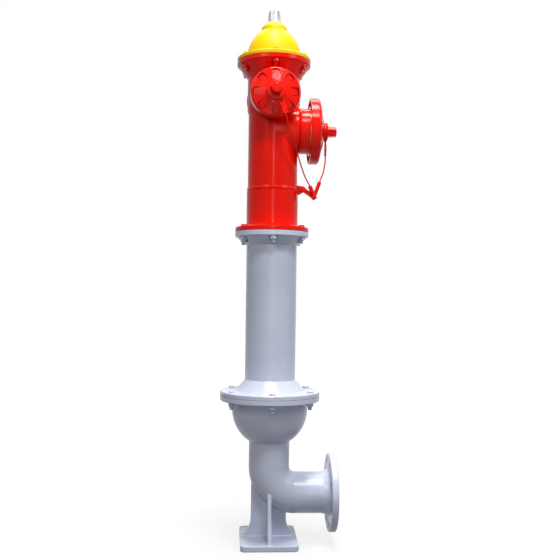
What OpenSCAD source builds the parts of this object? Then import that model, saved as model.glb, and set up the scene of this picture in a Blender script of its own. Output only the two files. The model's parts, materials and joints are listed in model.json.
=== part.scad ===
// Fire hydrant: a dry barrel pillar on a duckfoot elbow, with two hose outlets and one pumper outlet.
// The foot stands on z = 0 and Z is the barrel axis.
// The front hose outlet faces -Y, the inlet and the pumper outlet +X.

/* [Water way] */
// Inner diameter of the inlet, the elbow and the riser
pipe_bore_d = 100; // [80:1:108]
// Wall of the elbow, the riser and the inlet leg
pipe_wall = 8; // [6:0.5:12]
// Bend radius of the elbow along its middle line
bend_r = 75; // [72:1:110]
// Height of the inlet axis above the underside of the foot
inlet_axis_z = 139; // [120:1:200]
// Distance from the barrel axis to the outer face of the inlet flange
inlet_reach = 189; // [160:1:300]
// Straight riser between the elbow and the bowl
riser_h = 72; // [40:1:200]
// Outer radius of the round bowl
bowl_r = 107.5; // [100:0.5:118]
// Wall of the bowl
bowl_wall = 9; // [7:0.5:12]
// Height from the middle of the bowl to the top face of its flange
bowl_collar_h = 40; // [34:1:70]

/* [Inlet flange] */
// Outer diameter of the inlet flange
inlet_flange_d = 220; // [208:1:236]
// Thickness of the inlet flange
inlet_flange_t = 19; // [14:1:26]
// Bolt circle diameter of the inlet flange
inlet_pcd = 180; // [168:1:188]
// Number of bolt holes in the inlet flange
inlet_holes = 8; // [4, 8, 12]
// Diameter of each bolt hole in the inlet flange
inlet_hole_d = 18; // [12:0.5:20]
// Extra radius of the hub where the leg meets the inlet flange
inlet_hub_rise = 9; // [4:0.5:12]
// Length of that hub along the leg
inlet_hub_l = 25; // [15:1:35]

/* [Foot] */
// Width of the foot slab, along the inlet leg
foot_w = 161; // [160:1:240]
// Length of the foot slab, across the inlet leg
foot_l = 200; // [170:1:300]
// Thickness of the foot slab
foot_t = 16; // [10:1:24]
// Corner radius of the foot slab
foot_corner_r = 14; // [6:1:30]
// Width of the upright web below the elbow
web_w = 100; // [80:1:104]
// Thickness of the upright web
web_t = 12; // [8:1:20]
// Width that the web gains on each side where it flares out to the slab
web_flare_w = 30; // [15:1:32]
// Height of that flare
web_flare_h = 52; // [34:1:60]
// Thickness of the two gusset ribs at the front and the back
rib_t = 11; // [8:1:18]
// Height of the top of each rib, where it meets the elbow
rib_top_z = 146; // [135:1:165]
// Distance from the end of the slab to the toe of each rib
rib_toe = 8; // [4:1:30]

/* [Base flanges] */
// Distance from the outside of the bowl to the middle of the base bolts
base_bolt_gap = 18.5; // [16:0.5:24]
// Distance from the middle of the base bolts to the edge of the base flanges
base_rim = 16; // [13:0.5:24]
// Thickness of the lower base flange, on the bowl
base_lower_t = 14.5; // [10:0.5:22]
// Thickness of the upper base flange, on the standpipe
base_upper_t = 12; // [9:0.5:20]
// Thickness of the base gasket
base_gasket_t = 1; // [0.5:0.1:4]
// Diameter that the base gasket stands in from the edge of its flange
base_gasket_inset = 4; // [0:0.5:8]

/* [Standpipe] */
// Outer diameter of the grey standpipe
standpipe_d = 144; // [138:1:150]
// Wall of the standpipe
standpipe_wall = 8; // [6:0.5:9]
// Length of the standpipe over both its flanges
standpipe_h = 464; // [420:1:1500]
// Radius of the cone at its foot, on the base flange
cone_r = 98.5; // [90:0.5:104]
// Height of that cone above the base flange
cone_h = 32; // [20:1:60]
// Height of the cone under its grey flange
grey_cone_h = 24; // [14:1:40]

/* [Ground line and bonnet flanges] */
// Outer diameter of the ground line flanges and the bonnet flanges
collar_flange_d = 210; // [204:1:230]
// Bolt circle diameter of these flanges
collar_pcd = 185; // [182:1:188]
// Thickness of the grey flange on the standpipe
grey_flange_t = 15; // [10:0.5:22]
// Thickness of the red flange at the foot of the barrel
red_foot_t = 11.5; // [9:0.5:20]
// Thickness of the red flange at the top of the barrel
red_top_t = 12; // [9:0.5:20]
// Thickness of the yellow flange of the bonnet
bonnet_flange_t = 11; // [9:0.5:20]
// Thickness of the gasket at the ground line
barrel_gasket_t = 1.5; // [0.5:0.1:4]
// Thickness of the gasket under the bonnet
bonnet_gasket_t = 1; // [0.5:0.1:4]

/* [Barrel] */
// Length of the red barrel over both its flanges
barrel_h = 486; // [470:1:620]
// Outer radius of the band at the foot of the barrel
band_r = 73.5; // [72:0.5:76]
// Height of the band above the foot of the barrel
band_h = 116; // [80:1:118]
// Outer radius of the middle of the barrel
barrel_r = 71; // [69:0.5:73]
// Outer radius of the head of the barrel, round the hose outlets
head_r = 74.5; // [73:0.5:78]
// Wall of the barrel
barrel_wall = 8; // [6:0.5:9]
// Height of the cone under the red flange at the top of the barrel
top_cone_h = 37; // [24:1:40]
// Drop from the top of the barrel to the axis of the hose outlets
hose_drop = 110.5; // [107:0.5:116]
// Drop from the top of the barrel to the axis of the pumper outlet
pumper_drop = 194.5; // [188:0.5:206]

/* [Outlets] */
// Outer diameter of the pumper neck
pumper_neck_d = 129; // [127:1:134]
// Distance from the barrel axis to the end of the pumper neck
pumper_neck_l = 103; // [98:1:112]
// Outer diameter of the thread on the pumper nozzle
pumper_thread_d = 125; // [118:0.5:125]
// Bore of the pumper nozzle
pumper_bore_d = 100; // [90:1:104]
// Outer diameter of each hose neck
hose_neck_d = 104; // [98:1:106]
// Distance from the barrel axis to the end of each hose neck
hose_neck_l = 90; // [86:1:100]
// Outer diameter of the thread on each hose nozzle
hose_thread_d = 95; // [86:0.5:95]
// Bore of each hose nozzle
hose_bore_d = 65; // [55:1:74]
// Pitch of the outlet threads
cap_pitch = 6; // [3:0.5:8]
// Number of turns that free a cap
cap_turns = 4; // [2:1:6]

/* [Caps] */
// Outer diameter of the pumper cap
pumper_cap_d = 188; // [176:1:200]
// Outer diameter of each hose cap
hose_cap_d = 139; // [134:1:150]
// Length of the rim of a cap
cap_rim_l = 28; // [26:1:36]
// Height of the shallow cone on the face of the pumper cap
pumper_face_h = 15; // [6:1:18]
// Height of the shallow cone on the face of a hose cap
hose_face_h = 7; // [5:0.5:12]
// Radius of the round boss under the nut of a cap
boss_r = 26; // [24:0.5:28]
// Length of that boss
boss_l = 10; // [8:0.5:14]
// Length of the five sided nut on a cap
cap_nut_l = 26; // [18:1:32]
// Corner radius of the five sided nut at its foot
cap_nut_r = 17.5; // [13:0.5:19]
// Number of radial pockets in the face of a cap
pockets = 8; // [6, 8]
// Width of each pocket
pocket_w = 21; // [14:1:22]
// Depth of each pocket at its outer end
pocket_depth = 3.3; // [1:0.1:3.5]

/* [Bonnet and operating nut] */
// Radius of the dome on the bonnet flange
dome_r = 78; // [74:0.5:82]
// Radius of the arc that shapes the dome
dome_arc_r = 97.3; // [92:0.5:110]
// Wall of the dome
dome_wall = 8; // [6:0.5:10]
// Radius of the hold-down nut at its foot
hold_down_r = 38; // [35:0.5:39]
// Height of the hold-down nut above the bonnet
hold_down_h = 25.5; // [22:0.5:32]
// Corner radius of the five sided operating nut at its foot
key_r = 19.5; // [15:0.1:21]
// Length of the five sided part of the operating nut
key_l = 40; // [30:1:60]
// Share of its foot radius that the operating nut keeps at its tip
key_tip_share = 0.85; // [0.7:0.05:1]

/* [Valve and stem] */
// Diameter of the stem
stem_d = 24; // [20:0.5:26]
// Travel of the main valve from shut to open
valve_travel = 54; // [30:1:54]
// Bore of the bronze seat ring
seat_bore_d = 100; // [90:1:104]
// Outer diameter of the main valve rubber
valve_d = 120; // [116:1:124]
// Thickness of the main valve rubber
valve_t = 20; // [14:1:22]

/* [Fasteners] */
// Shank diameter of the flange bolts
bolt_d = 12; // [10:0.5:13]
// Number of bolts in each flanged joint
bolts = 6; // [4, 6]
// Width across flats of the bolt heads and nuts
bolt_af = 18; // [16:0.5:19]
// Height of the bolt heads
bolt_head_h = 5; // [4:0.5:10]
// Height of the nuts
nut_h = 10.5; // [7:0.5:12]
// Length of bolt that shows past each nut
bolt_tail = 9; // [3:0.5:12]

/* [Cap cables] */
// Diameter of the wire rope
cable_d = 4; // [3:0.5:4.5]
// Width of each flattened crimp at the cap
ferrule_w = 16; // [12:0.5:18]
// Length of each flattened crimp
ferrule_l = 32; // [20:1:34]
// Thickness of each flattened crimp
ferrule_t = 6; // [5:0.5:7]
// Diameter of the sleeve on the front cable at the lug
front_sleeve_d = 12; // [8:0.5:12.5]
// Diameter of the sleeve on the pumper cable at the lug
pumper_sleeve_d = 11; // [8:0.5:11.5]
// Thickness of the lug on the barrel
lug_t = 8; // [5:0.5:9]
// Thickness of the link plate on the lug
link_t = 4; // [3:0.5:5]
// Width of the link plate
link_w = 13; // [11:0.5:16]

/* [Hidden] */

$fn = 64;
cast_grey = [0.66, 0.68, 0.75];
gloss_red = [0.86, 0.09, 0.03];
bonnet_yellow = [0.98, 0.83, 0.04];
bronze = [0.72, 0.5, 0.24];
steel = [0.78, 0.79, 0.8];
rubber_black = [0.09, 0.09, 0.1];

// Running clearance of turning and sliding pieces, and play of fixed pieces in their seats
run = 0.4;
play = 0.2;
// Overrun of every cut, and the film of air between two faces that touch
cut = 1;
film = 0.02;
// Small fillets and chamfers
edge = 2;
fillet = 6;
arc_steps = 8;

pipe_r = pipe_bore_d / 2 + pipe_wall;
elbow_top_z = inlet_axis_z + bend_r;
bowl_z = elbow_top_z + riser_h + sqrt(pow(bowl_r, 2) - pow(pipe_r, 2));
bowl_top_z = bowl_z + bowl_collar_h;
standpipe_z = bowl_top_z + base_gasket_t;
standpipe_top_z = standpipe_z + standpipe_h;
standpipe_r = standpipe_d / 2;
barrel_z = standpipe_top_z + barrel_gasket_t;
barrel_top_z = barrel_z + barrel_h;
bonnet_z = barrel_top_z + bonnet_gasket_t;
dome_z = bonnet_z + bonnet_flange_t;
dome_shift = dome_arc_r - dome_r;
dome_h = sqrt(pow(dome_arc_r, 2) - pow(hold_down_r + edge + dome_shift, 2));
shoulder_z = dome_z + dome_h;
key_z = shoulder_z + hold_down_h;
base_pcd = 2 * (bowl_r + base_bolt_gap);
base_r = base_pcd / 2 + base_rim;
collar_r = collar_flange_d / 2;
pumper_z = barrel_top_z - pumper_drop;
hose_z = barrel_top_z - hose_drop;

// The seat ring hangs in the top of the bowl and the shut valve bears on its lower cone
seat_bore_r = seat_bore_d / 2;
seat_flange_r = 76;
seat_flange_t = 7;
seat_body_r = 64;
seat_l = 30;
seat_cone = 6;
seat_bottom_z = bowl_top_z - seat_l;
o_ring_d = 4;
o_ring_r = o_ring_d / 2;
seat_groove_z = bowl_top_z - seat_flange_t - 2 * o_ring_d;
seat_pocket_r = seat_body_r + play;
seat_land_h = 20;

// The valve stack, from the top: winged plate, rubber, lower plate and nut, all on the stem
stem_r = stem_d / 2;
valve_r = valve_d / 2;
valve_top_z = seat_bottom_z + seat_cone - run;
valve_foot_z = seat_bottom_z - valve_t;
wing_h = 16;
wing_t = 6;
wing_plate_t = 5;
lower_plate_t = 13;
lower_plate_r = 54;
lower_plate_tip_r = 30;
valve_nut_h = 16;
valve_nut_r = 20;
stem_foot_z = valve_foot_z - lower_plate_t - valve_nut_h - edge;

// The stem is in two rods that meet in a pinned coupling just above the ground line
coupling_l = 84;
coupling_r = 20;
coupling_z = barrel_z + coupling_l / 4;
stem_split_z = coupling_z;
coupling_pin_r = 4;
coupling_pin_l = 2 * coupling_r + 2 * edge;

// The operating nut turns between two thrust washers in the top of the bonnet
sleeve_r = 20;
thrust_r = 30;
thrust_t = 9;
washer_t = 2;
spigot_l = 10;
nut_belt_share = 0.25;
nut_cone_share = 0.72;
hub_r = thrust_r + run + dome_wall;
hub_foot_z = bonnet_z + edge;
bush_l = 16;
seat_shelf_z = shoulder_z - spigot_l - thrust_t - 2 * washer_t - 2 * play;
sleeve_foot_z = hub_foot_z + bush_l + edge;
key_shank_r = key_r + play;
key_round_share = 0.6;
spigot_r = thrust_r + run;
stem_top_gap = 6;
stem_top_z = key_z - 2 * stem_top_gap;
stem_bore_r = stem_r + run;

// Shared fastener sizes
hex_r = bolt_af / sqrt(3);
bolt_r = bolt_d / 2;
hole_play = 0.75;
hole_r = bolt_r + hole_play;
first_bolt_deg = -90;
nut_seat_r = hex_r + edge;
cone_inset = 4;

// Nozzles and caps, measured outwards from the barrel axis
nozzle_end = cap_rim_l - 6;
hose_root_r = 77;
root_flare = 8;
root_sweep_deg = 75;
thread_depth = 4.5;
nozzle_root = 14;
cap_gasket_t = 3;
cap_gap = 1;
thread_play = 0.5;
thread_boss_wall = 8;
skirt_wall = 7;
rim_round = 8;
groove_depth = 3.5;
groove_w = cable_d + 2 * run;
loop_r = boss_r - groove_depth + run + cable_d / 2;
nut_tip_share = 0.88;
nut_round_share = 0.35;
pocket_in_share = 0.5;
pocket_out_share = 0.9;
pumper_cap_z = pumper_neck_l + cap_gap;
hose_cap_z = hose_neck_l + cap_gap;

// Lug, link plate and cable ends, measured outwards from the barrel axis and down from the top of the barrel
lug_hole_x = 87;
lug_drop = 362.5;
lug_z = barrel_top_z - lug_drop;
lug_tip_r = 9;
lug_root_up = 12;
lug_root_down = 20;
lug_bolt_r = 4;
lug_bolt_af = 13;
lug_bolt_head_h = 5.5;
lug_nut_h = 6.5;
link_pin_x = 120;
link_drop = 384.5;
link_z = barrel_top_z - link_drop;
link_pin_r = 2.5;
link_pin_head_r = 5;
link_pin_head_t = 2.5;
eye_gap = 0.5;
cable_gap = 1;
front_sleeve_l = 34;
pumper_sleeve_l = 49;
front_sleeve_deg = -24.3;
pumper_sleeve_deg = 20.1;
sleeve_heel = 7;
front_sleeve_y = -lug_t / 2 - link_t - eye_gap - front_sleeve_d / 2;
pumper_sleeve_y = -lug_t / 2 + eye_gap + pumper_sleeve_d / 2;
ferrule_top_r = 36;
front_ferrule_deg = 17;
front_ferrule_side = 7;
pumper_ferrule_side = 2.5;
ferrule_leg = 3;
ferrule_end = ferrule_top_r + ferrule_l + play;
cable_sides = 8;

// Ends of the two free cable stretches, at the foot of each crimp and at the top of each sleeve
loop_plane = cap_rim_l + boss_l / 2;
front_end = [
  ferrule_end * sin(front_ferrule_deg) + front_ferrule_side * cos(front_ferrule_deg),
  -(hose_cap_z + hose_face_h + loop_plane),
  hose_z - ferrule_end * cos(front_ferrule_deg) + front_ferrule_side * sin(front_ferrule_deg)
];
pumper_end = [pumper_cap_z + pumper_face_h + loop_plane, pumper_ferrule_side, pumper_z - ferrule_end];
front_lug_end = [
  link_pin_x + (front_sleeve_l + cable_gap) * sin(front_sleeve_deg), front_sleeve_y,
  link_z + (front_sleeve_l + cable_gap) * cos(front_sleeve_deg)
];
pumper_lug_end = [
  link_pin_x + (pumper_sleeve_l + cable_gap) * sin(pumper_sleeve_deg), pumper_sleeve_y,
  link_z + (pumper_sleeve_l + cable_gap) * cos(pumper_sleeve_deg)
];

// Route of the front cable between its ends, with heights from the top of the barrel
front_route = [
  [29, -131, -182], [32, -129, -193], [36, -125, -205], [41, -120, -217], [46, -112, -229],
  [51, -104, -241], [56, -95, -253], [61, -86, -265], [66, -77, -277], [71, -68, -289],
  [76, -59, -301], [81, -50, -312], [86, -41, -322], [91, -32, -331], [96, -25, -338],
  [101, -19, -345]
];

// Route of the pumper cable between its ends, with heights from the top of the barrel
pumper_route = [
  [152, 2, -269], [152, 2, -275], [152, 2, -281], [151, 2, -287], [150, 2, -293],
  [149, 2, -299], [148, 2, -304], [147, 2, -309], [146, 2, -314], [144, 2, -319],
  [142, 2, -324], [140, 2, -329], [138, 2, -334]
];

// Points on an arc about a centre, from one angle to another
function arc(centre, r, from, to, steps = arc_steps) =
  [for (i = [0:steps]) let (a = from + (to - from) * i / steps) centre + r * [cos(a), sin(a)]];

// A route lifted to its height, and rings of points round it for the skin of a tube
function lifted(route) = [for (p = route) p + [0, 0, barrel_top_z]];
function unit(v) = v / norm(v);
function heading(route, i) =
  unit(route[min(i + 1, len(route) - 1)] - route[max(i - 1, 0)]);
function tube_ring(route, i, r) =
  let (t = heading(route, i), u = unit(cross(t, [0, 1, 0])), v = cross(t, u))
  [for (k = [0:cable_sides - 1]) let (a = 360 * k / cable_sides)
    route[i] + r * (cos(a) * u + sin(a) * v)];
function tube_points(route, r) =
  [for (i = [0:len(route) - 1]) each tube_ring(route, i, r)];
function tube_faces(rings) = concat(
  [[for (k = [cable_sides - 1:-1:0]) k]],
  [for (i = [0:rings - 2], k = [0:cable_sides - 1])
    let (a = i * cable_sides, b = a + cable_sides, n = (k + 1) % cable_sides)
    each [[a + k, a + n, b + n], [a + k, b + n, b + k]]],
  [[for (k = [0:cable_sides - 1]) (rings - 1) * cable_sides + k]]
);
module tube(route, r) {
  polyhedron(tube_points(route, r), tube_faces(len(route)), convexity = 6);
}

// Placing: a ring of bolts about Z, and a piece whose own +Z points out of the barrel at an angle
module bolt_circle(pcd, count, first = first_bolt_deg) {
  for (i = [0:count - 1]) rotate([0, 0, first + 360 * i / count]) translate([pcd / 2, 0, 0]) children();
}
module outward(deg, z) {
  translate([0, 0, z]) rotate([0, 0, deg]) rotate([0, 90, 0]) children();
}
module front_place() { outward(-90, hose_z) children(); }
module rear_place() { outward(90, hose_z) children(); }
module pumper_place() { outward(0, pumper_z) children(); }

// Shared shapes
module washer_ring(outer, inner, t) {
  difference() {
    cylinder(h = t, r = outer);
    translate([0, 0, -cut]) cylinder(h = t + 2 * cut, r = inner);
  }
}
module torus(ring, r) { rotate_extrude() translate([ring, 0]) circle(r); }
module flange_bolt(grip) {
  cylinder(h = bolt_head_h, r = hex_r, $fn = 6);
  translate([0, 0, -grip - nut_h - bolt_tail]) cylinder(h = grip + nut_h + bolt_tail, r = bolt_r);
}
module flange_nut() {
  difference() {
    translate([0, 0, -nut_h]) cylinder(h = nut_h, r = hex_r, $fn = 6);
    translate([0, 0, -nut_h - cut]) cylinder(h = nut_h + 2 * cut, r = bolt_r + play / 2);
  }
}
module bolt_set(top, grip, pcd) { translate([0, 0, top]) bolt_circle(pcd, bolts) flange_bolt(grip); }
module nut_set(under, pcd) { translate([0, 0, under]) bolt_circle(pcd, bolts) flange_nut(); }
module nut_seats(under, h, pcd) {
  translate([0, 0, under - h]) bolt_circle(pcd, bolts) cylinder(h = h, r = nut_seat_r);
}
module bolt_holes(z, t, pcd) {
  translate([0, 0, z - cut]) bolt_circle(pcd, bolts) cylinder(h = t + 2 * cut, r = hole_r);
}
module flat_gasket(z, t, outer, inner, pcd) {
  difference() {
    translate([0, 0, z + film]) washer_ring(outer, inner, t - 2 * film);
    bolt_holes(z, t, pcd);
  }
}
module tapered_nut(r, l, tip_share, round_share) {
  tip_round = r * round_share;
  round_z = l - tip_round;
  corner_r = r * (1 - (1 - tip_share) * round_z / l);
  intersection() {
    rotate([0, 0, 180]) cylinder(h = l, r1 = r, r2 = r * tip_share, $fn = 5);
    rotate_extrude() polygon(concat(
      [[0, 0], [r, 0]],
      arc([corner_r - tip_round, round_z], tip_round, 0, 90),
      [[0, l]]
    ));
  }
}

// Elbow casting in three parts that meet face to face: foot with the bend, inlet leg, riser with the bowl
module bend(r) {
  translate([bend_r, 0, elbow_top_z]) rotate([90, 0, 0]) rotate([0, 0, 180])
    rotate_extrude(angle = 90) translate([bend_r, 0]) circle(r);
}
module leg_place() { translate([bend_r, 0, inlet_axis_z]) rotate([0, 90, 0]) children(); }
module foot_slab() {
  linear_extrude(foot_t) {
    square([foot_w - 2 * foot_corner_r, foot_l], center = true);
    square([foot_w, foot_l - 2 * foot_corner_r], center = true);
    for (x = [-1, 1], y = [-1, 1])
      translate([x * (foot_w / 2 - foot_corner_r), y * (foot_l / 2 - foot_corner_r)]) circle(foot_corner_r);
  }
}
module foot_web() {
  half = web_w / 2;
  flare_r = (pow(web_flare_w, 2) + pow(web_flare_h, 2)) / (2 * web_flare_w);
  flare_deg = acos((flare_r - web_flare_w) / flare_r);
  flare = arc([half + flare_r, foot_t + web_flare_h], flare_r, 180 + flare_deg, 180);
  meet_z = elbow_top_z - sqrt(pow(bend_r + pipe_r, 2) - pow(bend_r + half, 2));
  translate([0, web_t / 2, 0]) rotate([90, 0, 0]) linear_extrude(web_t) polygon(concat(
    [[-half - web_flare_w, foot_t / 2], [half + web_flare_w, foot_t / 2]],
    flare,
    [[half, inlet_axis_z], [0, inlet_axis_z + pipe_wall], [-half, meet_z]],
    [for (i = [arc_steps:-1:0]) [-flare[i][0], flare[i][1]]]
  ));
}
module foot_ribs() {
  reach = foot_l / 2 - rib_toe;
  ring = sqrt(pow(bend_r, 2) + pow(elbow_top_z - rib_top_z, 2)) - bend_r;
  top_y = sqrt(pow(pipe_r, 2) - pow(ring, 2));
  translate([-rib_t / 2, 0, 0]) rotate([90, 0, 90]) linear_extrude(rib_t) polygon([
    [-reach, foot_t / 2], [reach, foot_t / 2], [reach, foot_t + edge], [top_y, rib_top_z],
    [-top_y, rib_top_z], [-reach, foot_t + edge]
  ]);
}
module leg_shape() {
  l = inlet_reach - bend_r;
  back = l - inlet_flange_t;
  flange_r = inlet_flange_d / 2;
  hub_arc = (pow(inlet_hub_rise, 2) + pow(inlet_hub_l, 2)) / (2 * inlet_hub_rise);
  hub_deg = acos((hub_arc - inlet_hub_rise) / hub_arc);
  rotate_extrude() polygon(concat(
    [[0, film], [pipe_r, film]],
    arc([pipe_r + hub_arc, back - inlet_hub_l], hub_arc, 180, 180 - hub_deg),
    [[flange_r - edge, back], [flange_r, back + edge], [flange_r, l - edge], [flange_r - edge, l], [0, l]]
  ));
}
module bowl_shell() {
  under = bowl_collar_h - base_lower_t;
  translate([0, 0, bowl_z]) rotate_extrude() {
    intersection() {
      circle(bowl_r);
      translate([0, -bowl_r]) square([bowl_r, bowl_r]);
    }
    polygon([
      [0, 0], [bowl_r, 0], [bowl_r, under - fillet], [bowl_r + fillet, under], [base_r - edge, under],
      [base_r, under + edge], [base_r, bowl_collar_h], [0, bowl_collar_h]
    ]);
  }
}
module bowl_inside() {
  inner = bowl_r - bowl_wall;
  land_z = bowl_collar_h - seat_flange_t - seat_land_h;
  translate([0, 0, bowl_z]) rotate_extrude() {
    intersection() {
      circle(inner);
      translate([0, -inner]) square([inner, inner]);
    }
    square([inner, land_z]);
    square([seat_pocket_r, bowl_collar_h + cut]);
    translate([0, bowl_collar_h - seat_flange_t]) square([seat_flange_r + play, seat_flange_t + cut]);
  }
}
module elbow_foot() {
  color(cast_grey) difference() {
    union() {
      foot_slab();
      foot_web();
      foot_ribs();
      bend(pipe_r);
    }
    bend(pipe_bore_d / 2);
  }
}
module inlet_leg() {
  color(cast_grey) leg_place() difference() {
    leg_shape();
    translate([0, 0, -cut]) cylinder(h = inlet_reach - bend_r + 2 * cut, d = pipe_bore_d);
    translate([0, 0, inlet_reach - bend_r - inlet_flange_t - cut])
      bolt_circle(inlet_pcd, inlet_holes, 180 / inlet_holes)
        cylinder(h = inlet_flange_t + 2 * cut, d = inlet_hole_d);
  }
}
module valve_bowl() {
  color(cast_grey) difference() {
    union() {
      translate([0, 0, elbow_top_z + film]) cylinder(h = bowl_z - bowl_wall - elbow_top_z, r = pipe_r);
      bowl_shell();
    }
    translate([0, 0, elbow_top_z - cut]) cylinder(h = bowl_z - elbow_top_z, d = pipe_bore_d);
    bowl_inside();
    bolt_holes(bowl_top_z - base_lower_t, base_lower_t, base_pcd);
  }
}

// Seat ring, its O-ring and the base gasket
module seat_ring() {
  groove_h = o_ring_d + play;
  color(bronze) translate([0, 0, seat_bottom_z]) rotate_extrude() difference() {
    polygon([
      [seat_bore_r + seat_cone, 0], [seat_body_r, 0], [seat_body_r, seat_l - seat_flange_t],
      [seat_flange_r, seat_l - seat_flange_t], [seat_flange_r, seat_l], [seat_bore_r, seat_l],
      [seat_bore_r, seat_cone]
    ]);
    translate([seat_body_r - o_ring_d, seat_groove_z - seat_bottom_z - groove_h / 2])
      square([o_ring_d + cut, groove_h]);
  }
}
module seat_o_ring() {
  color(rubber_black) translate([0, 0, seat_groove_z]) torus(seat_body_r - o_ring_r + play / 2, o_ring_r);
}
module base_gasket() {
  color(rubber_black) flat_gasket(bowl_top_z, base_gasket_t, base_r - base_gasket_inset / 2,
    standpipe_r - standpipe_wall, base_pcd);
}

// Grey standpipe with its cone and both flanges
module standpipe() {
  bore_r = standpipe_r - standpipe_wall;
  grey_z = standpipe_h - grey_flange_t;
  color(cast_grey) difference() {
    translate([0, 0, standpipe_z]) rotate_extrude() polygon([
      [bore_r, 0], [base_r, 0], [base_r, base_upper_t - edge], [base_r - edge, base_upper_t],
      [cone_r + edge, base_upper_t], [cone_r, base_upper_t + edge],
      [standpipe_r + edge, base_upper_t + cone_h - edge], [standpipe_r, base_upper_t + cone_h],
      [standpipe_r, grey_z - grey_cone_h], [collar_r - cone_inset, grey_z], [collar_r - edge, grey_z],
      [collar_r, grey_z + edge], [collar_r, standpipe_h], [bore_r, standpipe_h]
    ]);
    nut_seats(standpipe_top_z - grey_flange_t, grey_cone_h, collar_pcd);
    bolt_holes(standpipe_z, base_upper_t, base_pcd);
    bolt_holes(standpipe_top_z - grey_flange_t, grey_flange_t, collar_pcd);
  }
}
module base_bolts() {
  color(cast_grey)
    bolt_set(standpipe_z + base_upper_t, base_upper_t + base_gasket_t + base_lower_t, base_pcd);
}
module base_nuts() { color(cast_grey) nut_set(bowl_top_z - base_lower_t, base_pcd); }

// Red barrel: flanges, band, head, two hose necks, pumper neck and cable lug in one casting
module barrel_gasket() {
  color(rubber_black) flat_gasket(standpipe_top_z, barrel_gasket_t, collar_r - edge,
    standpipe_r - standpipe_wall, collar_pcd);
}
module barrel_shell() {
  head_z = barrel_h - (pumper_drop + hose_drop) / 2;
  top_z = barrel_h - red_top_t;
  rotate_extrude() polygon([
    [0, 0], [collar_r, 0], [collar_r, red_foot_t - edge], [collar_r - edge, red_foot_t],
    [band_r + fillet, red_foot_t], [band_r, red_foot_t + fillet], [band_r, band_h - edge],
    [band_r - edge, band_h], [band_r, band_h + edge], [band_r, band_h + 2 * edge],
    [barrel_r, band_h + 2 * fillet], [barrel_r, head_z], [head_r, head_z + 2 * fillet],
    [head_r, top_z - top_cone_h], [collar_r - cone_inset, top_z], [collar_r - edge, top_z],
    [collar_r, top_z + edge], [collar_r, barrel_h], [0, barrel_h]
  ]);
}
module hose_neck() {
  neck_r = hose_neck_d / 2;
  rotate_extrude() polygon([
    [0, 0], [hose_root_r, 0], [neck_r, hose_neck_l - edge], [neck_r - edge, hose_neck_l],
    [0, hose_neck_l]
  ]);
}
module pumper_neck() {
  neck_r = pumper_neck_d / 2;
  rotate_extrude() polygon(concat(
    [[0, 0], [neck_r + root_flare, 0], [neck_r + root_flare, barrel_r - edge]],
    arc([neck_r + root_flare, barrel_r + root_flare], root_flare, 180 + root_sweep_deg, 180),
    [[neck_r, pumper_neck_l - edge], [neck_r - edge, pumper_neck_l], [0, pumper_neck_l]]
  ));
}
module nozzle_seat(thread_r, bore_r, reach) {
  cylinder(h = reach, r = bore_r);
  translate([0, 0, reach - nozzle_root]) cylinder(h = nozzle_root + cut, r = thread_r - thread_depth + play);
}
module lug() {
  root_x = barrel_r - barrel_wall / 2;
  z = lug_z;
  translate([0, lug_t / 2, 0]) rotate([90, 0, 0]) linear_extrude(lug_t) difference() {
    union() {
      translate([lug_hole_x, z]) circle(lug_tip_r);
      polygon([
        [root_x, z + lug_root_up], [root_x, z - lug_root_down], [barrel_r + edge, z - lug_root_down + edge],
        [lug_hole_x, z - lug_tip_r], [lug_hole_x, z + lug_tip_r]
      ]);
    }
    translate([lug_hole_x, z]) circle(lug_bolt_r + play);
  }
}
module upper_barrel() {
  bore_r = barrel_r - barrel_wall;
  color(gloss_red) difference() {
    union() {
      translate([0, 0, barrel_z]) barrel_shell();
      front_place() hose_neck();
      rear_place() hose_neck();
      pumper_place() pumper_neck();
      lug();
    }
    nut_seats(barrel_top_z - red_top_t, top_cone_h, collar_pcd);
    translate([0, 0, barrel_z - cut]) cylinder(h = barrel_h + 2 * cut, r = bore_r);
    front_place() nozzle_seat(hose_thread_d / 2, hose_bore_d / 2, hose_neck_l);
    rear_place() nozzle_seat(hose_thread_d / 2, hose_bore_d / 2, hose_neck_l);
    pumper_place() nozzle_seat(pumper_thread_d / 2, pumper_bore_d / 2, pumper_neck_l);
    bolt_holes(barrel_z, red_foot_t, collar_pcd);
    bolt_holes(barrel_top_z - red_top_t, red_top_t, collar_pcd);
  }
}
module barrel_bolts() {
  color(gloss_red) bolt_set(barrel_z + red_foot_t, red_foot_t + barrel_gasket_t + grey_flange_t, collar_pcd);
}
module barrel_nuts() { color(cast_grey) nut_set(standpipe_top_z - grey_flange_t, collar_pcd); }

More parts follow.
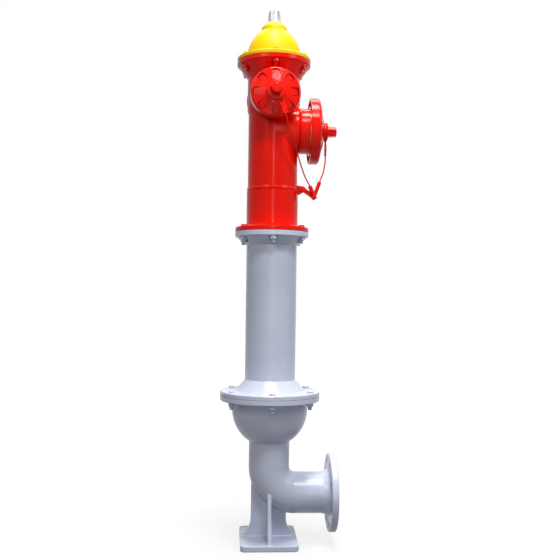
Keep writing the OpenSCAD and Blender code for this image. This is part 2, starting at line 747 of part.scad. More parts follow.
// Bonnet, hold-down nut and their seals
module bonnet_gasket() {
  color(rubber_black) flat_gasket(barrel_top_z, bonnet_gasket_t, collar_r - edge,
    barrel_r - barrel_wall, collar_pcd);
}
module bonnet() {
  shell = dome_arc_r - dome_wall;
  middle = [-dome_shift, bonnet_flange_t];
  top_deg = acos((hold_down_r + edge + dome_shift) / dome_arc_r);
  hub_deg = acos((hub_r + dome_shift) / shell);
  foot = hub_foot_z - bonnet_z;
  color(bonnet_yellow) difference() {
    translate([0, 0, bonnet_z]) rotate_extrude() difference() {
      polygon(concat(
        [[0, 0], [collar_r, 0], [collar_r, bonnet_flange_t - edge], [collar_r - edge, bonnet_flange_t],
          [dome_r + edge, bonnet_flange_t]],
        arc(middle, dome_arc_r, edge, top_deg, 3 * arc_steps),
        [[0, shoulder_z - bonnet_z]]
      ));
      polygon(concat(
        [[hub_r, -cut], [dome_r - dome_wall, -cut]],
        arc(middle, shell, 0, hub_deg, 2 * arc_steps)
      ));
      translate([0, -cut]) square([hub_r + cut, foot + cut]);
      square([sleeve_r + run, seat_shelf_z - bonnet_z]);
      translate([0, seat_shelf_z - bonnet_z]) square([spigot_r, shoulder_z - seat_shelf_z + cut]);
    }
    bolt_holes(bonnet_z, bonnet_flange_t, collar_pcd);
  }
}
module bonnet_bolts() {
  color(bonnet_yellow)
    bolt_set(bonnet_z + bonnet_flange_t, bonnet_flange_t + bonnet_gasket_t + red_top_t, collar_pcd);
}
module bonnet_nuts() { color(gloss_red) nut_set(barrel_top_z - red_top_t, collar_pcd); }
module hold_down_nut() {
  bore_r = key_shank_r + run;
  lip_r = bore_r + 2 * edge;
  color(bonnet_yellow) translate([0, 0, shoulder_z]) rotate_extrude() polygon([
    [bore_r, -spigot_l], [spigot_r - play, -spigot_l], [spigot_r - play, 0], [hold_down_r, 0],
    [hold_down_r - edge / 2, hold_down_h * nut_belt_share], [hold_down_r - edge, hold_down_h / 2],
    [(hold_down_r + lip_r) / 2, hold_down_h * nut_cone_share], [lip_r + edge, hold_down_h - edge],
    [lip_r, hold_down_h], [bore_r, hold_down_h]
  ]);
}
module thrust_washers() {
  color(bronze) {
    translate([0, 0, seat_shelf_z]) washer_ring(thrust_r, sleeve_r + run, washer_t);
    translate([0, 0, shoulder_z - spigot_l - washer_t]) washer_ring(thrust_r, key_shank_r + run, washer_t);
  }
}
module stem_bush() {
  color(bronze) translate([0, 0, hub_foot_z]) rotate_extrude() difference() {
    translate([stem_bore_r, 0]) square([sleeve_r + run - play - stem_bore_r, bush_l]);
    for (k = [1, 3]) translate([0, k * bush_l / 4 - o_ring_r - play / 2])
      square([stem_r + play + o_ring_d + play, o_ring_d + play]);
  }
}
module stem_o_rings() {
  color(rubber_black) for (k = [1, 3])
    translate([0, 0, hub_foot_z + k * bush_l / 4]) torus(stem_r + play + o_ring_r, o_ring_r);
}

// Operating nut, turned by its five sided head
module operating_nut() {
  collar_z = seat_shelf_z + washer_t + play;
  color(steel) difference() {
    union() {
      translate([0, 0, sleeve_foot_z]) cylinder(h = collar_z - sleeve_foot_z, r = sleeve_r);
      translate([0, 0, collar_z]) cylinder(h = thrust_t, r = thrust_r);
      translate([0, 0, collar_z + thrust_t]) cylinder(h = key_z - collar_z - thrust_t, r = key_shank_r);
      translate([0, 0, key_z]) rotate([0, 0, -90]) tapered_nut(key_r, key_l, key_tip_share, key_round_share);
    }
    translate([0, 0, sleeve_foot_z - cut])
      cylinder(h = stem_top_z + stem_top_gap - sleeve_foot_z + cut, r = stem_bore_r);
  }
}

// Stem in two rods, their coupling and pins
module pin_holes(extra) {
  for (s = [-1, 1]) translate([-coupling_r - edge - cut, 0, coupling_z + s * coupling_l / 4])
    rotate([0, 90, 0]) cylinder(h = coupling_pin_l + 2 * cut, r = coupling_pin_r + extra);
}
module stem_rod(from, to) {
  difference() {
    translate([0, 0, from]) cylinder(h = to - from, r = stem_r);
    pin_holes(play);
  }
}
module upper_stem() { color(steel) stem_rod(stem_split_z, stem_top_z); }
module lower_stem() { color(steel) stem_rod(stem_foot_z, stem_split_z - play); }
module stem_coupling() {
  color(cast_grey) difference() {
    translate([0, 0, coupling_z - coupling_l / 2]) washer_ring(coupling_r, stem_r + play, coupling_l);
    pin_holes(play);
  }
}
module coupling_pins() {
  color(steel) for (s = [-1, 1]) translate([-coupling_pin_l / 2, 0, coupling_z + s * coupling_l / 4])
    rotate([0, 90, 0]) cylinder(h = coupling_pin_l, r = coupling_pin_r);
}

// Main valve: winged guide plate, rubber, lower plate and nut
module upper_valve_plate() {
  guide_r = seat_bore_r - run;
  color(bronze) translate([0, 0, valve_top_z]) difference() {
    union() {
      cylinder(h = wing_plate_t, r = guide_r - edge);
      cylinder(h = wing_plate_t + wing_h, r = stem_r + fillet);
      intersection() {
        cylinder(h = wing_plate_t + wing_h, r = guide_r);
        for (a = [0, 90]) rotate([0, 0, a]) translate([-guide_r, -wing_t / 2, 0])
          cube([2 * guide_r, wing_t, wing_plate_t + wing_h]);
      }
    }
    translate([0, 0, -cut]) cylinder(h = wing_plate_t + wing_h + 2 * cut, r = stem_r + play);
  }
}
module main_valve() {
  bore_r = stem_r + play;
  rise = valve_top_z - valve_foot_z;
  color(rubber_black) translate([0, 0, valve_foot_z]) rotate_extrude() polygon([
    [bore_r, 0], [valve_r - edge, 0], [valve_r, edge], [valve_r, valve_t - run],
    [seat_bore_r + seat_cone - run, valve_t - run], [seat_bore_r - run, rise], [bore_r, rise]
  ]);
}
module lower_valve_plate() {
  color(cast_grey) translate([0, 0, valve_foot_z - lower_plate_t]) rotate_extrude() polygon([
    [stem_r + play, 0], [lower_plate_tip_r, 0], [lower_plate_r, lower_plate_t - 2 * edge],
    [lower_plate_r, lower_plate_t], [stem_r + play, lower_plate_t]
  ]);
}
module valve_nut() {
  color(steel) translate([0, 0, valve_foot_z - lower_plate_t - valve_nut_h]) difference() {
    cylinder(h = valve_nut_h, r = valve_nut_r, $fn = 6);
    translate([0, 0, -cut]) cylinder(h = valve_nut_h + 2 * cut, r = stem_r + play);
  }
}

// Outlet nozzles
module nozzle(thread_r, bore_r, reach) {
  root_r = thread_r - thread_depth;
  color(bronze) translate([0, 0, reach]) rotate_extrude() polygon([
    [bore_r, -nozzle_root], [root_r, -nozzle_root], [root_r, 0], [thread_r, 0],
    [thread_r, nozzle_end - edge], [thread_r - edge, nozzle_end], [bore_r, nozzle_end]
  ]);
}
module hose_nozzle() { nozzle(hose_thread_d / 2, hose_bore_d / 2, hose_neck_l); }
module front_nozzle() { front_place() hose_nozzle(); }
module rear_nozzle() { rear_place() hose_nozzle(); }
module pumper_nozzle() { pumper_place() nozzle(pumper_thread_d / 2, pumper_bore_d / 2, pumper_neck_l); }

// Caps: rim, threaded ring, shallow cone with radial pockets, boss with its cable groove, five sided nut
module pocket(r, face_z, face_slope) {
  r_in = r * pocket_in_share;
  r_out = r * pocket_out_share;
  corner = pocket_w / 4;
  intersection() {
    translate([0, pocket_w / 2, 0]) rotate([90, 0, 0]) linear_extrude(pocket_w) polygon([
      [r_in, face_z(r_in, r, face_z, face_slope)],
      [r_out, face_z(r_out, r, face_z, face_slope) - pocket_depth],
      [r_out, face_z + cap_rim_l], [r_in, face_z + cap_rim_l]
    ]);
    linear_extrude(face_z + cap_rim_l) {
      translate([r_in, -pocket_w / 2]) square([r_out - corner - r_in, pocket_w]);
      translate([r_in, corner - pocket_w / 2]) square([r_out - r_in, pocket_w - 2 * corner]);
      for (s = [-1, 1]) translate([r_out - corner, s * (pocket_w / 2 - corner)]) circle(corner);
    }
  }
}
function face_z(at, r, rim_z, slope) = rim_z + (r - rim_round - at) * slope;
module cap_body(r, thread_r, face_h) {
  slope = face_h / (r - rim_round - boss_r);
  boss_z = cap_rim_l + face_h;
  top_z = boss_z + boss_l;
  inner_r = thread_r + thread_play;
  inner_z = nozzle_end - cap_gap + cap_gasket_t + 2 * play;
  color(gloss_red) {
    difference() {
      rotate_extrude() difference() {
        polygon(concat(
          [[0, 0], [r, 0]],
          arc([r - rim_round, cap_rim_l - rim_round], rim_round, 0, 90),
          [[boss_r, boss_z], [boss_r, top_z - edge], [boss_r - edge, top_z], [0, top_z]]
        ));
        translate([0, -cut]) square([inner_r, inner_z + cut]);
        translate([inner_r + thread_boss_wall, -cut])
          square([r - skirt_wall - inner_r - thread_boss_wall, cap_rim_l - rim_round - edge + cut]);
        translate([boss_r - groove_depth, boss_z + boss_l / 2 - groove_w / 2])
          square([groove_depth + cut, groove_w]);
      }
      for (i = [0:pockets - 1]) rotate([0, 0, 360 * i / pockets]) pocket(r, cap_rim_l, slope);
    }
    translate([0, 0, top_z]) tapered_nut(cap_nut_r, cap_nut_l, nut_tip_share, nut_round_share);
  }
}
module hose_cap() { translate([0, 0, hose_cap_z]) cap_body(hose_cap_d / 2, hose_thread_d / 2, hose_face_h); }
module front_cap() { front_place() hose_cap(); }
module rear_cap() { rear_place() hose_cap(); }
module pumper_cap() {
  pumper_place() translate([0, 0, pumper_cap_z])
    cap_body(pumper_cap_d / 2, pumper_thread_d / 2, pumper_face_h);
}
module cap_gasket(thread_r, bore_r, reach) {
  color(rubber_black) translate([0, 0, reach + nozzle_end + play])
    washer_ring(thread_r, bore_r + edge, cap_gasket_t);
}
module hose_cap_gasket() { cap_gasket(hose_thread_d / 2, hose_bore_d / 2, hose_neck_l); }
module front_cap_gasket() { front_place() hose_cap_gasket(); }
module rear_cap_gasket() { rear_place() hose_cap_gasket(); }
module pumper_cap_gasket() {
  pumper_place() cap_gasket(pumper_thread_d / 2, pumper_bore_d / 2, pumper_neck_l);
}

// Cap cables: a loop in the groove of each boss, a flattened crimp, a free stretch and a sleeve at the lug
module cable_loop(side) {
  r = cable_d / 2;
  torus(loop_r, r);
  for (s = [-1, 1]) {
    start = [sqrt(pow(loop_r, 2) - pow(loop_r / 2, 2)), s * loop_r / 2];
    goal = [ferrule_top_r, side + s * ferrule_leg];
    lean = atan2(goal[1] - start[1], goal[0] - start[0]);
    run_l = norm(goal - start) - (play + r * abs(sin(lean))) / cos(lean);
    translate([start[0], start[1], 0])
      rotate([0, 0, lean])
        rotate([0, 90, 0]) cylinder(h = run_l, r = r);
  }
}
module ferrule(side) {
  translate([ferrule_top_r, side, 0]) rotate([0, 90, 0]) linear_extrude(ferrule_l) {
    square([ferrule_t, ferrule_w - ferrule_t], center = true);
    for (s = [-1, 1]) translate([0, s * (ferrule_w - ferrule_t) / 2]) circle(ferrule_t / 2);
  }
}
module front_loop_place() {
  front_place() translate([0, 0, hose_cap_z + hose_face_h + loop_plane])
    rotate([0, 0, front_ferrule_deg]) children();
}
module pumper_loop_place() {
  pumper_place() translate([0, 0, pumper_cap_z + pumper_face_h + loop_plane]) children();
}
module end_sleeve(d, l, deg, y) {
  r = d / 2;
  color(gloss_red) translate([link_pin_x, y, link_z]) difference() {
    rotate([0, deg, 0]) translate([0, 0, -sleeve_heel]) rotate_extrude() polygon([
      [0, 0], [r - edge, 0], [r, edge], [r, sleeve_heel + l - edge], [r - edge, sleeve_heel + l],
      [0, sleeve_heel + l]
    ]);
    rotate([90, 0, 0]) cylinder(h = d + 2 * cut, r = link_pin_r + play, center = true);
  }
}
module front_cable_loop() { color(gloss_red) front_loop_place() cable_loop(front_ferrule_side); }
module front_cable_ferrule() { color(gloss_red) front_loop_place() ferrule(front_ferrule_side); }
module front_cable() {
  color(gloss_red) tube(concat([front_end], lifted(front_route), [front_lug_end]), cable_d / 2);
}
module front_cable_sleeve() { end_sleeve(front_sleeve_d, front_sleeve_l, front_sleeve_deg, front_sleeve_y); }
module pumper_cable_loop() { color(gloss_red) pumper_loop_place() cable_loop(pumper_ferrule_side); }
module pumper_cable_ferrule() { color(gloss_red) pumper_loop_place() ferrule(pumper_ferrule_side); }
module pumper_cable() {
  color(gloss_red) tube(concat([pumper_end], lifted(pumper_route), [pumper_lug_end]), cable_d / 2);
}
module pumper_cable_sleeve() {
  end_sleeve(pumper_sleeve_d, pumper_sleeve_l, pumper_sleeve_deg, pumper_sleeve_y);
}

// Lug bolt and nut, the link plate they hold, and the pin that carries both sleeves
module lug_bolt() {
  grip = link_t + lug_t + lug_nut_h + edge;
  color(gloss_red) translate([lug_hole_x, -lug_t / 2 - link_t, lug_z]) rotate([90, 0, 0]) {
    cylinder(h = lug_bolt_head_h, r = lug_bolt_af / sqrt(3), $fn = 6);
    translate([0, 0, -grip]) cylinder(h = grip, r = lug_bolt_r);
  }
}
module lug_nut() {
  color(gloss_red) translate([lug_hole_x, lug_t / 2 + lug_nut_h, lug_z]) rotate([90, 0, 0]) difference() {
    cylinder(h = lug_nut_h, r = lug_bolt_af / sqrt(3), $fn = 6);
    translate([0, 0, -cut]) cylinder(h = lug_nut_h + 2 * cut, r = lug_bolt_r + play / 2);
  }
}
module cable_link() {
  a = [lug_hole_x, lug_z];
  b = [link_pin_x, link_z];
  color(gloss_red) translate([0, -lug_t / 2, 0]) rotate([90, 0, 0]) linear_extrude(link_t) difference() {
    union() {
      translate(a) circle(link_w / 2);
      translate(b) circle(link_w / 2);
      translate(a) rotate(atan2(b[1] - a[1], b[0] - a[0])) translate([0, -link_w / 2])
        square([norm(b - a), link_w]);
    }
    translate(a) circle(lug_bolt_r + play);
    translate(b) circle(link_pin_r + play);
  }
}
module link_pin() {
  front = front_sleeve_y - front_sleeve_d / 2 - play;
  back = pumper_sleeve_y + pumper_sleeve_d / 2 + play;
  color(gloss_red) translate([link_pin_x, back, link_z]) rotate([90, 0, 0]) {
    cylinder(h = back - front, r = link_pin_r);
    translate([0, 0, back - front]) cylinder(h = link_pin_head_t, r = link_pin_head_r);
    translate([0, 0, -link_pin_head_t]) cylinder(h = link_pin_head_t, r = link_pin_head_r);
  }
}

elbow_foot();
inlet_leg();
valve_bowl();
base_gasket();
seat_ring();
seat_o_ring();
standpipe();
base_bolts();
base_nuts();
barrel_gasket();
upper_barrel();
barrel_bolts();
barrel_nuts();
bonnet_gasket();
bonnet();
bonnet_bolts();
bonnet_nuts();
hold_down_nut();
thrust_washers();
stem_bush();
stem_o_rings();
operating_nut();
upper_stem();
stem_coupling();
coupling_pins();
lower_stem();
upper_valve_plate();
main_valve();
lower_valve_plate();
valve_nut();
front_nozzle();
rear_nozzle();
pumper_nozzle();
front_cap();
rear_cap();
pumper_cap();
front_cap_gasket();
rear_cap_gasket();
pumper_cap_gasket();
front_cable_loop();
front_cable_ferrule();
front_cable();
front_cable_sleeve();
pumper_cable_loop();
pumper_cable_ferrule();
pumper_cable();
pumper_cable_sleeve();
lug_bolt();
lug_nut();
cable_link();
link_pin();
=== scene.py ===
# %% [markdown]
# A fire hydrant, dressed in Blender
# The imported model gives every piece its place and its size, in metres, with Z up. This lesson
# adds what a drawing office leaves out: rounded cast edges, chamfered bolts, twisted wire rope,
# paint and light. The loaded pieces are the frame, and they are never moved. A piece that looks
# better by another mesh gets one in the same place, and the loaded one is then hidden.

import json
import math

import bpy
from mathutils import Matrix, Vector


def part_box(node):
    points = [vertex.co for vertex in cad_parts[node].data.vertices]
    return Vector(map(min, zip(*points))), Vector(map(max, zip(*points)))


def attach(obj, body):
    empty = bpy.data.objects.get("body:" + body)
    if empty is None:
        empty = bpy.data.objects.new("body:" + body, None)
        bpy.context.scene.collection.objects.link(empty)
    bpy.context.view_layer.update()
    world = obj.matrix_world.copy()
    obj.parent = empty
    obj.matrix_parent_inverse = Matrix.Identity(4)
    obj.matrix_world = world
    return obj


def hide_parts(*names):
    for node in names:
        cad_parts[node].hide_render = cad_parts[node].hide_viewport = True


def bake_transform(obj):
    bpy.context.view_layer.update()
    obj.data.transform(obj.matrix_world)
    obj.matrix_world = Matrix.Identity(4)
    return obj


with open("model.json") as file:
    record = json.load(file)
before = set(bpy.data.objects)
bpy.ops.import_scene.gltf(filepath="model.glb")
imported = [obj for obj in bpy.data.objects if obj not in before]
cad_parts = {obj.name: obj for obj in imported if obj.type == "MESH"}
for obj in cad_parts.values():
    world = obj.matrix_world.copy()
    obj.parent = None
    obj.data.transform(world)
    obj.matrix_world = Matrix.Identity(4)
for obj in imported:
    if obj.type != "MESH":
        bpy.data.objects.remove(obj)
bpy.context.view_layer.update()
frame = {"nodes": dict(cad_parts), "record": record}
nodes = frame["nodes"]

# %% [markdown]
# The camera comes first, because every later look is seen through it. The photograph was taken
# from a little left of the front, about two and a quarter metres away and at about half the height
# of the hydrant. The camera looks almost level, so upright edges stay almost parallel, and a small
# roll copies the slight lean of the picture.

# %% Camera
CAMERA_DISTANCE = 2.267
CAMERA_HEIGHT = 0.702
CAMERA_AZIMUTH = math.radians(-3)
CAMERA_PITCH = math.radians(1.09)
CAMERA_ROLL = math.radians(-0.72)
CAMERA_YAW = math.radians(-3.65)
SENSOR_MM = 36
LENS_MM = 50.8
NEAREST_SEEN = 0.05


def add_camera():
    bpy.ops.object.select_all(action="DESELECT")
    place = (
        CAMERA_DISTANCE * math.sin(CAMERA_AZIMUTH),
        -CAMERA_DISTANCE * math.cos(CAMERA_AZIMUTH),
        CAMERA_HEIGHT,
    )
    upright = math.radians(90) + CAMERA_PITCH
    bpy.ops.object.camera_add(location=place, rotation=(upright, CAMERA_ROLL, CAMERA_YAW))
    camera = bpy.context.object
    camera.name = "photo_camera"
    camera.data.sensor_width = SENSOR_MM
    camera.data.lens = LENS_MM
    camera.data.clip_start = NEAREST_SEEN
    bpy.context.scene.camera = camera
    return camera


camera = add_camera()
print("camera stands at", [round(c, 3) for c in camera.location])

# %% [markdown]
# Both cap cables are short free cords of painted wire rope, 4 mm thick. Each one leaves a
# flattened crimp under its cap and ends in a sleeve on the lug of the barrel. A rope could be a
# plain tube, but its strands catch the light. So here a ring with six lobes is swept along the
# route and turned a little at each step, which gives real twisted strands.

# %% Rope maker
ROPE_RADIUS = 0.002
ROPE_SIDES = 24
ROPE_STEP = 0.0016
ROPE_LAY = 0.026  # the length in which a strand goes once round
STRANDS = 6
STRAND_BULGE = 0.14  # how far the strands stand out, as a share of the rope's radius


def smooth_path(points, step):
    """A soft curve through the points, cut into short even steps."""
    pts = [Vector(p) for p in points]
    pts = [2 * pts[0] - pts[1]] + pts + [2 * pts[-1] - pts[-2]]
    fine = []
    for a, b, c, d in zip(pts, pts[1:], pts[2:], pts[3:]):
        cuts = max(1, round((c - b).length / step))
        for k in range(cuts):
            t = k / cuts
            fine.append(0.5 * (2 * b + (c - a) * t + (2 * a - 5 * b + 4 * c - d) * t * t
                               + (3 * b - a - 3 * c + d) * t ** 3))
    return fine + [pts[-2]]


def rope(name, points, radius=ROPE_RADIUS, sides=ROPE_SIDES):
    """A mesh tube with twisted strands along the points."""
    line = smooth_path(points, ROPE_STEP)
    last = len(line) - 1
    verts, faces, turned, side = [], [], 0.0, None
    for i, here in enumerate(line):
        ahead = (line[min(i + 1, last)] - line[max(i - 1, 0)]).normalized()
        if side is None:
            side = ahead.orthogonal().normalized()
        side = (side - ahead * side.dot(ahead)).normalized()
        across = ahead.cross(side)
        if i:
            turned += (here - line[i - 1]).length / ROPE_LAY * math.tau
        for k in range(sides):
            a = math.tau * k / sides
            lobe = abs(math.cos(STRANDS * (a - turned) / 2))
            r = radius * ((1 - STRAND_BULGE) + STRAND_BULGE * lobe)
            verts.append(here + side * (r * math.cos(a)) + across * (r * math.sin(a)))
    for i in range(last):
        near, far = i * sides, (i + 1) * sides
        for k in range(sides):
            n = (k + 1) % sides
            faces.append((near + k, near + n, far + n, far + k))
    faces.append(tuple(range(sides))[::-1])
    faces.append(tuple(last * sides + k for k in range(sides)))
    mesh = bpy.data.meshes.new(name)
    mesh.from_pydata([tuple(v) for v in verts], [], faces)
    mesh.polygons.foreach_set("use_smooth", [True] * len(mesh.polygons))
    obj = bpy.data.objects.new(name, mesh)
    bpy.context.scene.collection.objects.link(obj)
    return obj


def route_length(points):
    return sum((Vector(b) - Vector(a)).length for a, b in zip(points, points[1:]))


print("a rope has", STRANDS, "strands and is", 2000 * ROPE_RADIUS, "mm thick")

# %% [markdown]
# The routes are those of the drawing, from the crimp down to the sleeve, in metres. The top of
# each cable starts under its cap and the other end reaches the lug.

# %% Front and pumper cables
FRONT_ROUTE = [
    (0.02663, -0.131, 1.19534), (0.029, -0.131, 1.187), (0.032, -0.129, 1.176),
    (0.036, -0.125, 1.164), (0.041, -0.120, 1.152), (0.046, -0.112, 1.140),
    (0.051, -0.104, 1.128), (0.056, -0.095, 1.116), (0.061, -0.086, 1.104),
    (0.066, -0.077, 1.092), (0.071, -0.068, 1.080), (0.076, -0.059, 1.068),
    (0.081, -0.050, 1.057), (0.086, -0.041, 1.047), (0.091, -0.032, 1.038),
    (0.096, -0.025, 1.031), (0.101, -0.019, 1.024), (0.1056, -0.0145, 1.01641),
]
PUMPER_ROUTE = [
    (0.152, 0.0025, 1.10631), (0.152, 0.002, 1.100), (0.152, 0.002, 1.094),
    (0.152, 0.002, 1.088), (0.151, 0.002, 1.082), (0.150, 0.002, 1.076),
    (0.149, 0.002, 1.070), (0.148, 0.002, 1.065), (0.147, 0.002, 1.060),
    (0.146, 0.002, 1.055), (0.144, 0.002, 1.050), (0.142, 0.002, 1.045),
    (0.140, 0.002, 1.040), (0.138, 0.002, 1.035), (0.13718, 0.002, 1.03147),
]


def cap_cable(points, outlet):
    """The free stretch of one cable, from under its cap to the lug."""
    obj = rope(outlet + "_cable_rope", points)
    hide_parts(outlet + "_cable")
    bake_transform(obj)
    return obj


front_cable = cap_cable(FRONT_ROUTE, "front")
pumper_cable = cap_cable(PUMPER_ROUTE, "pumper")
for route in (FRONT_ROUTE, PUMPER_ROUTE):
    print("a cable is", round(route_length(route), 3), "m long")

# %% [markdown]
# Paint, bronze, steel and rubber share a few effects. Each effect is a node group with named
# inputs, so one change to the group reaches every finish. These helpers build the groups: a new
# group with its sockets, a noise, one step of arithmetic, a range spread over another range, and
# a blend of two colours.

# %% Helpers for node groups
EFFECT_OUTPUTS = [
    ("Colour", "NodeSocketColor"), ("Roughness", "NodeSocketFloat"), ("Height", "NodeSocketFloat")]


def new_group(name, inputs, outputs):
    group = bpy.data.node_groups.new(name, "ShaderNodeTree")
    for label, kind, value in inputs:
        socket = group.interface.new_socket(name=label, in_out="INPUT", socket_type=kind)
        if value is not None:
            socket.default_value = value
    for label, kind in outputs:
        group.interface.new_socket(name=label, in_out="OUTPUT", socket_type=kind)
    return group, group.nodes.new("NodeGroupInput"), group.nodes.new("NodeGroupOutput")


def noise(tree, scale, detail):
    node = tree.nodes.new("ShaderNodeTexNoise")
    node.inputs["Scale"].default_value = scale
    node.inputs["Detail"].default_value = detail
    return node


def maths(tree, operation, a=None, b=None, clamp=False):
    node = tree.nodes.new("ShaderNodeMath")
    node.operation = operation
    node.use_clamp = clamp
    for i, value in enumerate((a, b)):
        if isinstance(value, (int, float)):
            node.inputs[i].default_value = value
        elif value is not None:
            tree.links.new(value, node.inputs[i])
    return node.outputs[0]


def spread(tree, value, low, high, to_low=0.0, to_high=1.0):
    node = tree.nodes.new("ShaderNodeMapRange")
    node.inputs["From Min"].default_value = low
    node.inputs["From Max"].default_value = high
    node.inputs["To Min"].default_value = to_low
    node.inputs["To Max"].default_value = to_high
    tree.links.new(value, node.inputs["Value"])
    return node.outputs["Result"]


def blend_colour(tree, factor, a, b):
    node = tree.nodes.new("ShaderNodeMix")
    node.data_type = "RGBA"
    tree.links.new(factor, node.inputs["Factor"])
    tree.links.new(a, node.inputs[6])
    tree.links.new(b, node.inputs[7])
    return node.outputs[2]


def add_up(tree, a, b):
    return maths(tree, "ADD", a, b)


def times(tree, a, b):
    return maths(tree, "MULTIPLY", a, b)


def hypotenuse(tree, a, b):
    return maths(tree, "SQRT", add_up(tree, times(tree, a, a), times(tree, b, b)))


print("helpers for node groups are ready")

# %% [markdown]
# The first group is sprayed paint on a sand casting. It reads Object coordinates, which are
# metres here, so a scale of 420 gives marks of about two and a half millimetres. Sand shows
# through as a fine grain, the paint lies in soft waves, and it is thinner in broad patches and in
# the pores.

# %% Painted casting group
SAND, WAVES, PATCHES, DUST = 420, 70, 9, 1500  # scales of the four noises


def painted_casting_group():
    """Sprayed paint on a sand casting, with a socket that blends in painted shade."""
    group, inside, outside = new_group(
        "painted_casting",
        [("Vector", "NodeSocketVector", None),
         ("Paint", "NodeSocketColor", (0.8, 0.1, 0.05, 1)),
         ("Thin Paint", "NodeSocketColor", (0.6, 0.05, 0.02, 1)),
         ("Grain", "NodeSocketFloat", 0.5),
         ("Gloss", "NodeSocketFloat", 0.25),
         ("Shade Colour", "NodeSocketColor", (0.05, 0.04, 0.04, 1)),
         ("Painted Shade", "NodeSocketFloat", 0.0)],
        EFFECT_OUTPUTS,
    )
    sand, waves = noise(group, SAND, 2.0), noise(group, WAVES, 1.0)
    patches, dust = noise(group, PATCHES, 4.0), noise(group, DUST, 1.0)
    for node in (sand, waves, patches, dust):
        group.links.new(inside.outputs["Vector"], node.inputs["Vector"])
    pores = spread(group, sand.outputs["Fac"], 0.40, 0.30)
    thin = spread(group, patches.outputs["Fac"], 0.35, 0.72, 0.0, 0.55)
    worn = maths(group, "ADD", thin, times(group, pores, 0.35), clamp=True)
    paint = blend_colour(group, worn, inside.outputs["Paint"], inside.outputs["Thin Paint"])
    # Painted shade: the paint is darkened towards the shade colour where the shade amount says so.
    shaded = blend_colour(group, inside.outputs["Painted Shade"], paint, inside.outputs["Shade Colour"])
    group.links.new(shaded, outside.inputs["Colour"])
    dull_patches = spread(group, patches.outputs["Fac"], 0.3, 0.7, -0.03, 0.08)
    dull_specks = spread(group, dust.outputs["Fac"], 0.5, 0.75, 0.0, 0.06)
    rough = add_up(group, inside.outputs["Gloss"], dull_patches)
    rough = add_up(group, rough, dull_specks)
    group.links.new(rough, outside.inputs["Roughness"])
    grain = times(group, sand.outputs["Fac"], inside.outputs["Grain"])
    height = add_up(group, grain, times(group, waves.outputs["Fac"], 0.9))
    group.links.new(height, outside.inputs["Height"])
    return group


PAINTED_CASTING = painted_casting_group()
print(PAINTED_CASTING.name, "has", len(PAINTED_CASTING.nodes), "nodes")

# %% [markdown]
# The second group is bare metal: fine rings about Z from the lathe, scuffs, and streaks that are
# tarnish run down on the bronze and a painted dark reflection on the stainless steel. The streaks
# come from a noise whose Z is pressed together by a Mapping node.

# %% Machined metal group
LATHE_RINGS, STAIN_AND_REFLECTION_STREAKS, SCUFFS = 260, 75, 700  # scales of the wave and the two noises


def machined_group():
    """Bare metal with turned rings, scuffs, and streaks of tarnish and of painted dark reflection.
    """
    group, inside, outside = new_group(
        "machined_metal",
        [("Vector", "NodeSocketVector", None),
         ("Bright", "NodeSocketColor", (0.7, 0.7, 0.7, 1)),
         ("Tarnish And Dark Reflection", "NodeSocketColor", (0.4, 0.4, 0.4, 1)),
         ("Polish", "NodeSocketFloat", 0.25)],
        EFFECT_OUTPUTS,
    )
    rings = group.nodes.new("ShaderNodeTexWave")
    rings.wave_type = "BANDS"
    rings.bands_direction = "Z"
    rings.inputs["Scale"].default_value = LATHE_RINGS
    rings.inputs["Distortion"].default_value = 1.5
    stain_and_reflection, scuffs = noise(group, STAIN_AND_REFLECTION_STREAKS, 2.0), noise(group, SCUFFS, 2.0)
    for node in (rings, scuffs):
        group.links.new(inside.outputs["Vector"], node.inputs["Vector"])
    stretch = group.nodes.new("ShaderNodeMapping")
    stretch.inputs["Scale"].default_value = (1, 1, 0.1)
    group.links.new(inside.outputs["Vector"], stretch.inputs["Vector"])
    group.links.new(stretch.outputs["Vector"], stain_and_reflection.inputs["Vector"])
    # The streaks are tarnish on the bronze and a painted dark reflection on the stainless steel.
    tarnish_and_reflection_streaks = spread(group, stain_and_reflection.outputs["Fac"], 0.4, 0.56)
    metal = blend_colour(group, tarnish_and_reflection_streaks, inside.outputs["Bright"], inside.outputs["Tarnish And Dark Reflection"])
    group.links.new(metal, outside.inputs["Colour"])
    scratched = spread(group, scuffs.outputs["Fac"], 0.3, 0.7, 0.0, 0.15)
    rough = add_up(group, inside.outputs["Polish"], scratched)
    group.links.new(rough, outside.inputs["Roughness"])
    height = add_up(group, times(group, rings.outputs["Fac"], 0.25), scuffs.outputs["Fac"])
    group.links.new(height, outside.inputs["Height"])
    return group


MACHINED = machined_group()
print(MACHINED.name, "has", len(MACHINED.nodes), "nodes")

# %% [markdown]
# Painted shade darkens the eight pockets of a cap's face, along their sides and at their deep
# outer ends, where the pocket walls shade the floor. This group reads how far a point is from the
# cap's axis, sideways and upwards, and the cap's radius. It folds the face into half a pocket with
# Ping Pong. Then it measures how deep inside the pocket's rounded outline the point lies, as one
# does for a rounded box: past the straight part of a side, past that of the end, or past both,
# which is a corner.

# %% Painted pocket shade group
POCKETS = 8
POCKET_WIDTH = 0.021
POCKET_CORNER = POCKET_WIDTH / 4
POCKET_END = 0.9  # where a pocket ends, as a share of the cap's radius
SHADE_AT_WALL, UNSHADED_FROM = 0.0005, 0.0035  # depths between which the painted shade fades inwards
SHADE_OUTSIDE, SHADE_EDGE = -0.0015, -0.0003  # depths between which it fades outwards
UNSHADED_INNER, SHADED_OUTER = 0.5, 0.75  # shares of the radius between which it fades in


